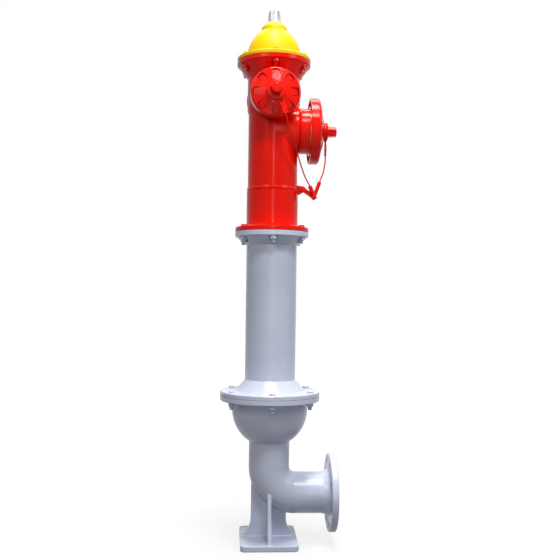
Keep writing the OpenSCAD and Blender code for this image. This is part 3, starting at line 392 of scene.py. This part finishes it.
def painted_pocket_shade_group():
    """Painted shade: one on the edge of a pocket and zero elsewhere, from a point's place on a
    cap's face.
    """
    group, inside, outside = new_group(
        "painted_pocket_shade", [("Plan", "NodeSocketVector", None)], [("Painted Shade", "NodeSocketFloat")])
    split = group.nodes.new("ShaderNodeSeparateXYZ")
    group.links.new(inside.outputs["Plan"], split.inputs["Vector"])
    across, up, radius = split.outputs
    reach = hypotenuse(group, across, up)
    angle = maths(group, "PINGPONG", maths(group, "ARCTAN2", up, across), math.pi / POCKETS)
    aside = times(group, reach, maths(group, "SINE", angle))
    along = times(group, reach, maths(group, "COSINE", angle))
    side = maths(group, "SUBTRACT", aside, POCKET_WIDTH / 2 - POCKET_CORNER)
    end = maths(group, "SUBTRACT", add_up(group, along, POCKET_CORNER),
                times(group, radius, POCKET_END))
    past_side, past_end = maths(group, "MAXIMUM", side, 0.0), maths(group, "MAXIMUM", end, 0.0)
    corner = hypotenuse(group, past_side, past_end)
    within = maths(group, "MINIMUM", maths(group, "MAXIMUM", side, end), 0.0)
    depth = maths(group, "SUBTRACT", POCKET_CORNER, add_up(group, corner, within))
    # The painted shade is darkest at a pocket's wall, fades inwards and outwards, and lies only on
    # the outer part of the face.
    inwards = spread(group, depth, SHADE_AT_WALL, UNSHADED_FROM, 1.0, 0.0)
    outwards = spread(group, depth, SHADE_OUTSIDE, SHADE_EDGE)
    outer = spread(group, maths(group, "DIVIDE", along, radius), UNSHADED_INNER, SHADED_OUTER)
    painted_shade = times(group, times(group, inwards, outwards), outer)
    group.links.new(painted_shade, outside.inputs["Painted Shade"])
    return group


POCKET_SHADE = painted_pocket_shade_group()
print(POCKET_SHADE.name, "has", len(POCKET_SHADE.nodes), "nodes")

# %% [markdown]
# Each finish is a material with one Principled shader. The group's colour, roughness and height
# feed it, and its own sockets hold the constants. Red, grey and yellow enamel and black rubber
# come from the first group, bronze and stainless steel from the second.

# %% Finishes
def finish_from(group, name, values, bump_mm, metallic=0.0, shine=0.5):
    """A material whose colour, roughness and height come from the group."""
    material = bpy.data.materials.new(name)
    material.use_nodes = True
    tree = material.node_tree
    shader = tree.nodes["Principled BSDF"]
    place = tree.nodes.new("ShaderNodeTexCoord")
    effect = tree.nodes.new("ShaderNodeGroup")
    effect.node_tree = group
    for label, value in values.items():
        effect.inputs[label].default_value = value
    tree.links.new(place.outputs["Object"], effect.inputs["Vector"])
    tree.links.new(effect.outputs["Colour"], shader.inputs["Base Color"])
    tree.links.new(effect.outputs["Roughness"], shader.inputs["Roughness"])
    bump = tree.nodes.new("ShaderNodeBump")
    bump.inputs["Strength"].default_value = 1.0
    bump.inputs["Distance"].default_value = bump_mm / 1000
    tree.links.new(effect.outputs["Height"], bump.inputs["Height"])
    tree.links.new(bump.outputs["Normal"], shader.inputs["Normal"])
    shader.inputs["Metallic"].default_value = metallic
    shader.inputs["Specular IOR Level"].default_value = shine
    return material


FINISH = {
    # The shade colour of the red enamel is a painted shade for the pockets of the caps.
    "red_paint": finish_from(PAINTED_CASTING, "gloss_red_enamel", {
        "Paint": (0.88, 0.007, 0.0004, 1), "Thin Paint": (0.70, 0.004, 0.001, 1),
        "Shade Colour": (0.20, 0.002, 0.001, 1), "Grain": 0.25, "Gloss": 0.16}, 0.2, shine=0.13),
    "grey_paint": finish_from(PAINTED_CASTING, "light_grey_primer_enamel", {
        "Paint": (0.56, 0.60, 0.73, 1), "Thin Paint": (0.48, 0.51, 0.64, 1),
        "Grain": 0.7, "Gloss": 0.24}, 0.3, shine=0.4),
    "yellow_paint": finish_from(PAINTED_CASTING, "bonnet_yellow_enamel", {
        "Paint": (0.75, 0.515, 0.001, 1), "Thin Paint": (0.74, 0.40, 0.001, 1),
        "Grain": 0.3, "Gloss": 0.4}, 0.2, shine=0.16),
    "bronze": finish_from(MACHINED, "turned_bronze", {
        "Bright": (0.58, 0.33, 0.12, 1), "Tarnish And Dark Reflection": (0.33, 0.20, 0.09, 1),
        "Polish": 0.26}, 0.05, metallic=1.0),
    # The dark streaks of the stainless steel are a painted dark reflection.
    "steel": finish_from(MACHINED, "cast_stainless", {
        "Bright": (0.60, 0.61, 0.65, 1), "Tarnish And Dark Reflection": (0.12, 0.13, 0.16, 1),
        "Polish": 0.12}, 0.02, metallic=1.0),
    "rubber": finish_from(PAINTED_CASTING, "moulded_black_rubber", {
        "Paint": (0.018, 0.018, 0.020, 1), "Thin Paint": (0.035, 0.034, 0.033, 1),
        "Grain": 0.5, "Gloss": 0.6}, 0.1, shine=0.3),
}
print("finishes:", ", ".join(m.name for m in FINISH.values()))

# %% [markdown]
# The red enamel also gets the painted shade of the pockets. Only the caps will carry the attribute
# that it reads. Every other red piece reads zero there, and gets no painted shade.

# %% Painted pocket shade for the red enamel
FACE_PLAN = "face_plan"


# Feeds the painted shade of the cap pockets into the red enamel.
def shade_pockets(material):
    tree = material.node_tree
    plan = tree.nodes.new("ShaderNodeAttribute")
    plan.attribute_name = FACE_PLAN
    painted_shade = tree.nodes.new("ShaderNodeGroup")
    painted_shade.node_tree = POCKET_SHADE
    effect = next(n for n in tree.nodes if n.type == "GROUP" and n.node_tree == PAINTED_CASTING)
    tree.links.new(plan.outputs["Vector"], painted_shade.inputs["Plan"])
    tree.links.new(painted_shade.outputs["Painted Shade"], effect.inputs["Painted Shade"])
    print(material.name, "reads", plan.attribute_name)


shade_pockets(FINISH["red_paint"])

# %% [markdown]
# The drawing gives each node a slot, and the slot names its finish. All loaded nodes get theirs
# now, also those that are inside, so that a cut or an opened cap shows real metal and rubber.

# %% Give every node its finish
slot_of = {s["node"]: s["material_slot"] for s in frame["record"]["subparts"]}


def coat(obj, slot_name):
    obj.data.materials.clear()
    obj.data.materials.append(FINISH[slot_name])


for name, obj in nodes.items():
    coat(obj, slot_of[name])
coat(front_cable, "red_paint")
coat(pumper_cable, "red_paint")
print("nodes with a finish:", len(slot_of))

# %% [markdown]
# Sand castings never have sharp edges, because the pattern needs small radii to leave the sand.
# The loaded meshes have sharp ones. So each casting is copied, its loose triangles are merged
# into one skin, flat faces are joined again, and a narrow bevel rounds every hard edge. Weighted
# normals then keep the flat faces flat to the light. The bevel is small against the shape, so the
# copy stays in the box of its node.

# %% Bench tools
SAME_POINT = 0.000002
SAME_PLANE = math.radians(0.6)
HARD_EDGE = math.radians(32)
SMOOTH_BELOW = math.radians(35)


def clear_selection():
    if bpy.context.object and bpy.context.object.mode != "OBJECT":
        bpy.ops.object.mode_set(mode="OBJECT")
    bpy.ops.object.select_all(action="DESELECT")


def pick(obj):
    clear_selection()
    obj.select_set(True)
    bpy.context.view_layer.objects.active = obj


def edit_only(obj, kind, wanted):
    """Goes into edit mode with only those faces, edges or points selected that are wanted."""
    pick(obj)
    bpy.ops.object.mode_set(mode="EDIT")
    bpy.ops.mesh.select_mode(type=kind)
    bpy.ops.mesh.select_all(action="DESELECT")
    bpy.ops.object.mode_set(mode="OBJECT")
    mesh = obj.data
    for part in {"FACE": mesh.polygons, "EDGE": mesh.edges, "VERT": mesh.vertices}[kind]:
        part.select = wanted(part)
    bpy.ops.object.mode_set(mode="EDIT")


def leave_edit():
    bpy.ops.mesh.select_mode(type="VERT")
    bpy.ops.object.mode_set(mode="OBJECT")


def merged_copy(node, name):
    """A copy of a loaded node with its triangles joined at their corners."""
    obj = bpy.data.objects.new(name, nodes[node].data.copy())
    bpy.context.scene.collection.objects.link(obj)
    pick(obj)
    bpy.ops.object.mode_set(mode="EDIT")
    bpy.ops.mesh.select_all(action="SELECT")
    bpy.ops.mesh.remove_doubles(threshold=SAME_POINT)
    bpy.ops.mesh.dissolve_limited(angle_limit=SAME_PLANE)
    bpy.ops.object.mode_set(mode="OBJECT")
    return obj


def round_edges(obj, width, segments=2):
    """A bevel on every hard edge, then smooth faces with hard corners kept."""
    pick(obj)
    bevel = obj.modifiers.new("round", "BEVEL")
    bevel.width = width
    bevel.segments = segments
    bevel.limit_method = "ANGLE"
    bevel.angle_limit = HARD_EDGE
    bpy.ops.object.modifier_apply(modifier=bevel.name)
    bpy.ops.object.shade_smooth_by_angle(angle=SMOOTH_BELOW)
    even = obj.modifiers.new("even", "WEIGHTED_NORMAL")
    even.keep_sharp = True
    bpy.ops.object.modifier_apply(modifier=even.name)
    return obj


def body_of_node(node):
    bodies = frame["record"]["behaviour"]["bodies"]
    return next(body for body, members in bodies.items() if node in members)


def stands_for(obj, node):
    """The finished piece takes the place, the finish and the body of its node."""
    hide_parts(node)
    coat(obj, slot_of[node])
    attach(obj, body_of_node(node))
    print(obj.name, "has", len(obj.data.polygons), "faces")
    return obj


def cast_copy(node, width, segments=2):
    return stands_for(round_edges(merged_copy(node, node + "_cast"), width, segments), node)


print("bench tools are ready")

# %% [markdown]
# Most castings need no more than that. The caps get a smaller bevel, because their pockets are
# small, and the tapered operating nut gets a rounder one.

# %% Castings
castings = [cast_copy(n, 0.0012) for n in ("standpipe", "upper_barrel", "bonnet")]
hold_down = cast_copy("hold_down_nut", 0.001)
front_cap, rear_cap, pumper_cap = [
    cast_copy(n, 0.0005) for n in ("front_cap", "rear_cap", "pumper_cap")]
key = cast_copy("operating_nut", 0.0012, 3)

# %% [markdown]
# Now the caps get the attribute that the painted shade reads. It holds three numbers for each
# point: how far it is from the cap's axis sideways and upwards, and the cap's radius. The two hose
# caps face along Y, so sideways is X for them, and the pumper cap faces along X, so there it is Y.

# %% Face plans of the caps
HOSE_Z, PUMPER_Z = 1.2585, 1.1745
X, Y = 0, 1


def draw_face_plan(cap, sideways, height):
    mesh = cap.data
    flat = [(v.co[sideways], v.co.z - height) for v in mesh.vertices]
    radius = max(math.hypot(a, b) for a, b in flat)
    plan = mesh.attributes.new(FACE_PLAN, "FLOAT_VECTOR", "POINT")
    plan.data.foreach_set("vector", [x for a, b in flat for x in (a, b, radius)])
    print(cap.name, "has a radius of", round(radius, 4))


draw_face_plan(front_cap, X, HOSE_Z)
draw_face_plan(rear_cap, X, HOSE_Z)
draw_face_plan(pumper_cap, Y, PUMPER_Z)

# %% [markdown]
# The elbow has deep inside corners, where the web and the ribs meet the bend. Real moulds fill
# such corners with a fillet. A bevel can't round a corner between curved skins well, so the three
# parts of the casting are joined and rebuilt in small even cells, which makes one skin, and this
# is smoothed a little. Only its foot is kept, since the flanges look crisper as plain copies. The
# kept skin reaches a little over their edges.

# %% Elbow casting
SKIN_CELL = 0.0018
SKIN_PASSES = 6
SKIN_KEEP = 0.5  # the share of the skin's triangles that stays
SKIN_OVERLAP = 0.0004
PIPE_UNDERSIDE = 0.078
ON_THE_PLANE = 0.0002
FLANGE_EDGE = 0.001


def trim(obj, place, outward, low):
    """Cuts off the faces beyond a plane, but only those higher than low."""
    edit_only(obj, "FACE", lambda face: face.center.z > low)
    bpy.ops.mesh.bisect(plane_co=place, plane_no=outward, clear_outer=True)
    leave_edit()


def open_joint(obj, place, outward):
    """Takes off the flat end where a casting joins its neighbour, so no bevel marks the joint."""
    place, outward = Vector(place), Vector(outward)
    edit_only(obj, "FACE", lambda face: face.normal.dot(outward) > 0.99
              and abs((face.center - place).dot(outward)) < ON_THE_PLANE)
    bpy.ops.mesh.delete(type="FACE")
    leave_edit()
    return obj


def joined_cast(node, width, place, outward):
    """A casting copy whose joint end stays sharp and open under its neighbour's skin."""
    obj = open_joint(merged_copy(node, node + "_cast"), place, outward)
    return stands_for(round_edges(obj, width), node)


def melted_foot(parts):
    """One skin for parts that are one casting, cut back to the first part."""
    copies = [merged_copy(part, part + "_skin") for part in parts]
    pick(copies[0])
    for copy in copies:
        copy.select_set(True)
    bpy.ops.object.join()
    obj = bpy.context.object
    obj.data.remesh_voxel_size = SKIN_CELL
    bpy.ops.object.voxel_remesh()
    smooth = obj.modifiers.new("smooth", "SMOOTH")
    smooth.factor = 0.5
    smooth.iterations = SKIN_PASSES
    bpy.ops.object.modifier_apply(modifier=smooth.name)
    fewer = obj.modifiers.new("fewer", "DECIMATE")
    fewer.ratio = SKIN_KEEP
    bpy.ops.object.modifier_apply(modifier=fewer.name)
    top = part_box(parts[0])[1].z + SKIN_OVERLAP
    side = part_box(parts[1])[0].x + SKIN_OVERLAP
    trim(obj, (0, 0, top), (0, 0, 1), 0)
    trim(obj, (side, 0, 0), (1, 0, 0), PIPE_UNDERSIDE)
    bpy.ops.object.shade_smooth()
    return stands_for(obj, parts[0])


elbow = melted_foot(["elbow_foot", "inlet_leg", "valve_bowl"])
leg_start = (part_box("inlet_leg")[0].x, 0, 0)
bowl_start = (0, 0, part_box("valve_bowl")[0].z)
flanges = [
    joined_cast("inlet_leg", FLANGE_EDGE, leg_start, (-1, 0, 0)),
    joined_cast("valve_bowl", FLANGE_EDGE, bowl_start, (0, 0, -1)),
]

# %% [markdown]
# Eighteen hexagon bolts hold the flanges together. A real head has its corners turned off at 30
# degrees, so each head here is a six sided prism cut by a wide cone. The thread below the nut is
# a rod whose rings are narrowed by turns. One bolt and one nut are made for each joint and then
# copied round the circle.

# %% Bolt parts
BOLT_RADIUS = 0.006
BOLT_PLAY = 0.0001
BOLT_SIDES, HOLE_SIDES, CONE_SIDES = 20, 24, 48
HEX_FLATS = 0.018
HEX_TURNED = 0.95  # the width of the turned end, as a share of the flats
HEAD_HEIGHT = 0.005
NUT_HEIGHT = 0.0105
CHAMFER_SLOPE = 1.73
THREAD_PITCH = 0.00175
THREAD_ROOT = 0.86  # the width in the grooves, as a share of the bolt's


def boolean(obj, tool, operation):
    pick(obj)
    cut = obj.modifiers.new("cut", "BOOLEAN")
    cut.operation = operation
    cut.solver = "EXACT"
    cut.object = tool
    bpy.ops.object.modifier_apply(modifier=cut.name)
    bpy.data.objects.remove(tool)
    return obj


def hex_block(name, height, both_ends):
    """A hexagon block with its corners turned off at the top or at both ends."""
    clear_selection()
    middle = (0, 0, height / 2)
    bpy.ops.mesh.primitive_cylinder_add(
        vertices=6, radius=HEX_FLATS / math.sqrt(3), depth=height, location=middle,
        rotation=(0, 0, math.radians(30)))
    block = bpy.context.object
    block.name = name
    narrow = HEX_FLATS * HEX_TURNED / 2
    wide = narrow + CHAMFER_SLOPE * height
    for low, high in ((wide, narrow), (narrow, wide)) if both_ends else ((wide, narrow),):
        clear_selection()
        bpy.ops.mesh.primitive_cone_add(
            vertices=CONE_SIDES, radius1=low, radius2=high, depth=height, location=middle)
        boolean(block, bpy.context.object, "INTERSECT")
    return block


def length_along_z(points, edge):
    a, b = (points[i].co for i in edge.vertices)
    return abs(a.z - b.z)


def threaded_rod(name, low, high):
    """A rod whose rings are narrowed by turns, which reads as a thread."""
    clear_selection()
    turns = max(2, round((high - low) / THREAD_PITCH))
    bpy.ops.mesh.primitive_cylinder_add(
        vertices=BOLT_SIDES, radius=BOLT_RADIUS, depth=high - low,
        location=(0, 0, (low + high) / 2))
    rod = bpy.context.object
    rod.name = name
    bpy.ops.object.transform_apply(location=True, rotation=True, scale=True)
    points = rod.data.vertices
    edit_only(rod, "EDGE", lambda edge: length_along_z(points, edge) > THREAD_PITCH)
    bpy.ops.mesh.subdivide(number_cuts=2 * turns - 1)
    leave_edit()
    step = (high - low) / (2 * turns)
    edit_only(rod, "VERT", lambda point: round((point.co.z - low) / step) % 2 == 0)
    bpy.ops.transform.resize(value=(THREAD_ROOT, THREAD_ROOT, 1))
    leave_edit()
    return rod


def joined(parts, name):
    """The parts as one object, with its place and turn in its mesh."""
    pick(parts[0])
    for part in parts:
        part.select_set(True)
    bpy.ops.object.join()
    obj = bpy.context.object
    obj.name = name
    bpy.ops.object.transform_apply(location=True, rotation=True, scale=True)
    return obj


print("a thread has a pitch of", 1000 * THREAD_PITCH, "mm")

# %% [markdown]
# Each joint takes its heights from the drawing: the underside of the heads, the tails of the
# bolts and the lowest face of the nuts. On the real hydrant the bolts are painted with the flange
# above and the nuts with the flange below, so what a bolt shows below its flange has the nut's
# finish.

# %% Bolts and nuts of the three joints
BASE_CIRCLE = 0.252
COLLAR_CIRCLE = 0.185
PER_CIRCLE = 6


def ring_of(part, name, circle, height):
    """Copies of one part round a bolt circle, the first one at the front, as one piece."""
    copies = []
    for i in range(PER_CIRCLE):
        angle = math.radians(-90 + 360 * i / PER_CIRCLE)
        copy = part.copy()
        copy.data = part.data.copy()
        bpy.context.scene.collection.objects.link(copy)
        copy.location = (circle / 2 * math.cos(angle), circle / 2 * math.sin(angle), height)
        copy.rotation_euler = (0, 0, angle)
        copies.append(copy)
    ring = joined(copies, name)
    bpy.data.objects.remove(part)
    bpy.ops.object.shade_smooth_by_angle(angle=SMOOTH_BELOW)
    return ring


def bolts_and_nuts(bolts, nuts, circle):
    bolt_low, bolt_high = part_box(bolts)
    nut_low, nut_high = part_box(nuts)
    under_head = bolt_high.z - HEAD_HEIGHT
    head = joined([hex_block("head", HEAD_HEIGHT, False)], "head")
    rod = threaded_rod("rod", bolt_low.z - under_head, 0)
    ring = ring_of(joined([head, rod], "bolt"), bolts + "_made", circle, under_head)
    stands_for(ring, bolts)
    ring.data.materials.append(FINISH[slot_of[nuts]])
    for face in ring.data.polygons:
        face.material_index = 1 if face.center.z < nut_high.z else 0
    nut = joined([hex_block("nut", NUT_HEIGHT, True)], "nut")
    clear_selection()
    bpy.ops.mesh.primitive_cylinder_add(
        vertices=HOLE_SIDES, radius=BOLT_RADIUS + BOLT_PLAY, depth=3 * NUT_HEIGHT)
    boolean(nut, bpy.context.object, "DIFFERENCE")
    stands_for(ring_of(nut, nuts + "_made", circle, nut_low.z), nuts)


bolts_and_nuts("base_bolts", "base_nuts", BASE_CIRCLE)
bolts_and_nuts("barrel_bolts", "barrel_nuts", COLLAR_CIRCLE)
bolts_and_nuts("bonnet_bolts", "bonnet_nuts", COLLAR_CIRCLE)

# %% [markdown]
# Each cable is doubled into a loop that lies in a groove of the cap's boss, and a flattened crimp
# closes the loop. The loop is a rope along the groove with two short legs. It is worked out in
# three directions of its own: down along the crimp, across it, and outwards from the cap.

# %% Cable loops
GROOVE_RING = 0.0249
LOOP_RADIUS = ROPE_RADIUS - 0.0001
LOOP_SIDES = 18
LOOP_FROM, LOOP_TO, LOOP_STEP = 36, 325, 12  # degrees round the boss, from the first leg
LEG_BEND, LEG_SPREAD = 0.028, 0.0085
LEG_GAP = 0.003
CRIMP_TOP = 0.036


def loop_frame(centre, outwards, lean, sideways):
    """The point at the boss, and the directions down along the crimp, across it and outwards."""
    down, across = Vector((0, 0, -1)), Vector(sideways)
    along = down * math.cos(lean) + across * math.sin(lean)
    over = across * math.cos(lean) - down * math.sin(lean)
    return Vector(centre), along, over, Vector(outwards)


def cable_loop(node, place, shift):
    centre, along, over, _ = place

    def spot(down, aside):
        return centre + along * down + over * aside

    path = [spot(CRIMP_TOP, shift + LEG_GAP), spot(LEG_BEND, shift / 2 + LEG_SPREAD)]
    for degree in range(LOOP_FROM, LOOP_TO, LOOP_STEP):
        a = math.radians(degree)
        path.append(spot(GROOVE_RING * math.cos(a), GROOVE_RING * math.sin(a)))
    path += [spot(LEG_BEND, shift / 2 - LEG_SPREAD), spot(CRIMP_TOP, shift - LEG_GAP)]
    return stands_for(rope(node + "_rope", path, LOOP_RADIUS, LOOP_SIDES), node)


FRONT_PLACE = loop_frame((0, -0.131, 1.25851), (0, -1, 0), math.radians(17), (1, 0, 0))
PUMPER_PLACE = loop_frame((0.152, 0, 1.17451), (1, 0, 0), 0, (0, 1, 0))
FRONT_SHIFT, PUMPER_SHIFT = 0.007, 0.0025
front_loop = cable_loop("front_cable_loop", FRONT_PLACE, FRONT_SHIFT)
pumper_loop = cable_loop("pumper_cable_loop", PUMPER_PLACE, PUMPER_SHIFT)

# %% [markdown]
# The crimp starts as a cube. A weighted bevel rounds its four long edges, and a subdivide cuts
# its faces into small ones, which keeps the flat faces flat to the light. Then the rings at a
# quarter from either end are squeezed, as by the jaws of a press, and the crimp is laid along its
# cable.

# %% Crimps
CRIMP_LENGTH, CRIMP_WIDTH, CRIMP_THICK = 0.032, 0.016, 0.006
CRIMP_ROUNDING = 0.42  # as a share of the thickness
CRIMP_CUTS = 11
PRESS_MARKS = (-0.25, 0.25)  # as shares of the length, from the middle
PRESS_WIDTH = 0.07
SQUEEZE = (0.8, 0.94, 1)


def is_pressed(point):
    return any(abs(point.co.z - mark * CRIMP_LENGTH) < CRIMP_LENGTH * PRESS_WIDTH
               for mark in PRESS_MARKS)


def crimp(node, place, shift):
    centre, along, over, out = place
    clear_selection()
    bpy.ops.mesh.primitive_cube_add(size=1)
    block = bpy.context.object
    block.name = node + "_pressed"
    block.scale = (CRIMP_THICK, CRIMP_WIDTH, CRIMP_LENGTH)
    bpy.ops.object.transform_apply(location=True, rotation=True, scale=True)
    mesh = block.data
    weights = mesh.attributes.new("bevel_weight_edge", "FLOAT", "EDGE")
    for edge in mesh.edges:
        is_long = length_along_z(mesh.vertices, edge) > CRIMP_LENGTH / 2
        weights.data[edge.index].value = 1.0 if is_long else 0.0
    bevel = block.modifiers.new("sides", "BEVEL")
    bevel.width = CRIMP_THICK * CRIMP_ROUNDING
    bevel.segments = 4
    bevel.limit_method = "WEIGHT"
    bpy.ops.object.modifier_apply(modifier=bevel.name)
    bpy.ops.object.mode_set(mode="EDIT")
    bpy.ops.mesh.select_all(action="SELECT")
    bpy.ops.mesh.subdivide(number_cuts=CRIMP_CUTS)
    leave_edit()
    edit_only(block, "VERT", is_pressed)
    bpy.ops.transform.resize(value=SQUEEZE)
    leave_edit()
    middle = centre + along * (CRIMP_TOP + CRIMP_LENGTH / 2) + over * shift
    for point in mesh.vertices:
        c = point.co.copy()
        point.co = middle + out * c.x + over * c.y - along * c.z
    bpy.ops.object.shade_smooth_by_angle(angle=math.radians(40))
    return stands_for(block, node)


front_crimp = crimp("front_cable_ferrule", FRONT_PLACE, FRONT_SHIFT)
pumper_crimp = crimp("pumper_cable_ferrule", PUMPER_PLACE, PUMPER_SHIFT)

# %% [markdown]
# The lower end of each cable goes into a swaged sleeve on the lug's pin, and the lug carries a
# link plate with a bolt. These are small, so their loaded shapes get only merged skins and
# rounded edges.

# %% Sleeves, link and lug hardware
front_sleeve, pumper_sleeve, link = [
    cast_copy(n, 0.0006) for n in ("front_cable_sleeve", "pumper_cable_sleeve", "cable_link")]
lug_pieces = [cast_copy(n, 0.0004) for n in ("lug_bolt", "lug_nut", "link_pin")]

# %% [markdown]
# A buyer wants to know how much rope there is. The lengths were printed with the cables, and here
# each cable is printed with the crimp and the sleeve that are on it.

for cable, route, on_it in (
        (front_cable, FRONT_ROUTE, [front_crimp, front_sleeve]),
        (pumper_cable, PUMPER_ROUTE, [pumper_crimp, pumper_sleeve])):
    print(cable.name, "is declared with", [piece.name for piece in on_it])

# %% [markdown]
# The floor and the sky are plain and pale. What the camera, a mirror or glass sees of them is
# white, by way of a Light Path node, and all other rays find them dim, so they hardly light the
# hydrant from below and the floor keeps its shadow.

# %% Floor and sky
FLOOR_SIZE = 24
SHADE_NEAR, SHADE_FAR = 0.2, 2.0  # between these distances the floor pales from 0.8 to white
SKY_LIGHT = 0.05


def camera_white(tree):
    """One where the camera, a mirror or glass looks, zero where only light is gathered."""
    path = tree.nodes.new("ShaderNodeLightPath")
    seen = add_up(tree, path.outputs["Is Camera Ray"], path.outputs["Is Glossy Ray"])
    return maths(tree, "ADD", seen, path.outputs["Is Transmission Ray"], clamp=True)


def add_floor():
    clear_selection()
    bpy.ops.mesh.primitive_plane_add(size=FLOOR_SIZE, location=(0, 0, 0))
    floor = bpy.context.object
    floor.name = "studio_floor"
    material = bpy.data.materials.new("pale_floor")
    material.use_nodes = True
    tree = material.node_tree
    shader = tree.nodes["Principled BSDF"]
    shader.inputs["Base Color"].default_value = (0.1, 0.1, 0.105, 1)
    shader.inputs["Roughness"].default_value = 0.9
    shader.inputs["Emission Color"].default_value = (1, 1, 1, 1)
    place = tree.nodes.new("ShaderNodeTexCoord")
    reach = tree.nodes.new("ShaderNodeVectorMath")
    reach.operation = "LENGTH"
    tree.links.new(place.outputs["Object"], reach.inputs[0])
    pale = spread(tree, reach.outputs["Value"], SHADE_NEAR, SHADE_FAR, 0.8, 1.0)
    glow = times(tree, camera_white(tree), pale)
    tree.links.new(glow, shader.inputs["Emission Strength"])
    floor.data.materials.append(material)
    return floor


def add_sky():
    world = bpy.data.worlds.new("studio_sky")
    world.use_nodes = True
    bpy.context.scene.world = world
    tree = world.node_tree
    background = tree.nodes["Background"]
    background.inputs["Color"].default_value = (1, 1, 1, 1)
    strength = spread(tree, camera_white(tree), 0.0, 1.0, SKY_LIGHT, 1.0)
    tree.links.new(strength, background.inputs["Strength"])
    return world


floor = add_floor()
sky = add_sky()
print("stage:", floor.name, "and", sky.name)

# %% [markdown]
# The light is that of a plain studio. A wide lamp high above lights the upward faces, and one
# above the front draws the sheen on the front cap and leaves undersides dark. Two soft ones fill
# the sides, and one behind gives the tops a thin rim. A narrow strip near the camera draws the
# bright line down the barrel. Each lamp has a place, a point that it faces, a size and a power in
# watts.

# %% Lamps
def add_lamp(name, place, aim, size, power, colour=(1, 1, 1)):
    clear_selection()
    bpy.ops.object.light_add(type="AREA", location=place)
    lamp = bpy.context.object
    lamp.name = name
    lamp.data.shape = "RECTANGLE"
    lamp.data.size, lamp.data.size_y = size
    lamp.data.energy = power
    lamp.data.color = colour
    lamp.rotation_euler = (Vector(aim) - Vector(place)).to_track_quat("-Z", "Y").to_euler()
    return lamp


lamps = [
    add_lamp("top", (0.1, -0.6, 5.0), (0, 0, 0.8), (1.2, 1.2), 212),
    add_lamp("front", (0.4, -1.6, 2.9), (0, 0, 0.7), (0.55, 0.45), 34),
    add_lamp("right", (2.5, -1.6, 2.6), (0, 0, 0.8), (0.9, 1.2), 28, (0.95, 0.97, 1.0)),
    add_lamp("left", (-1.6, -2.5, 2.6), (0, 0, 0.9), (1.0, 1.2), 24),
    add_lamp("strip", (0.0, -3.2, 1.1), (0, 0, 0.9), (0.04, 1.6), 10),
    add_lamp("rim", (0.3, 1.3, 3.3), (0.05, 0, 1.2), (1.8, 0.8), 24),
]
bpy.context.scene.view_settings.view_transform = "Standard"
print("lamps:", ", ".join(lamp.name for lamp in lamps))
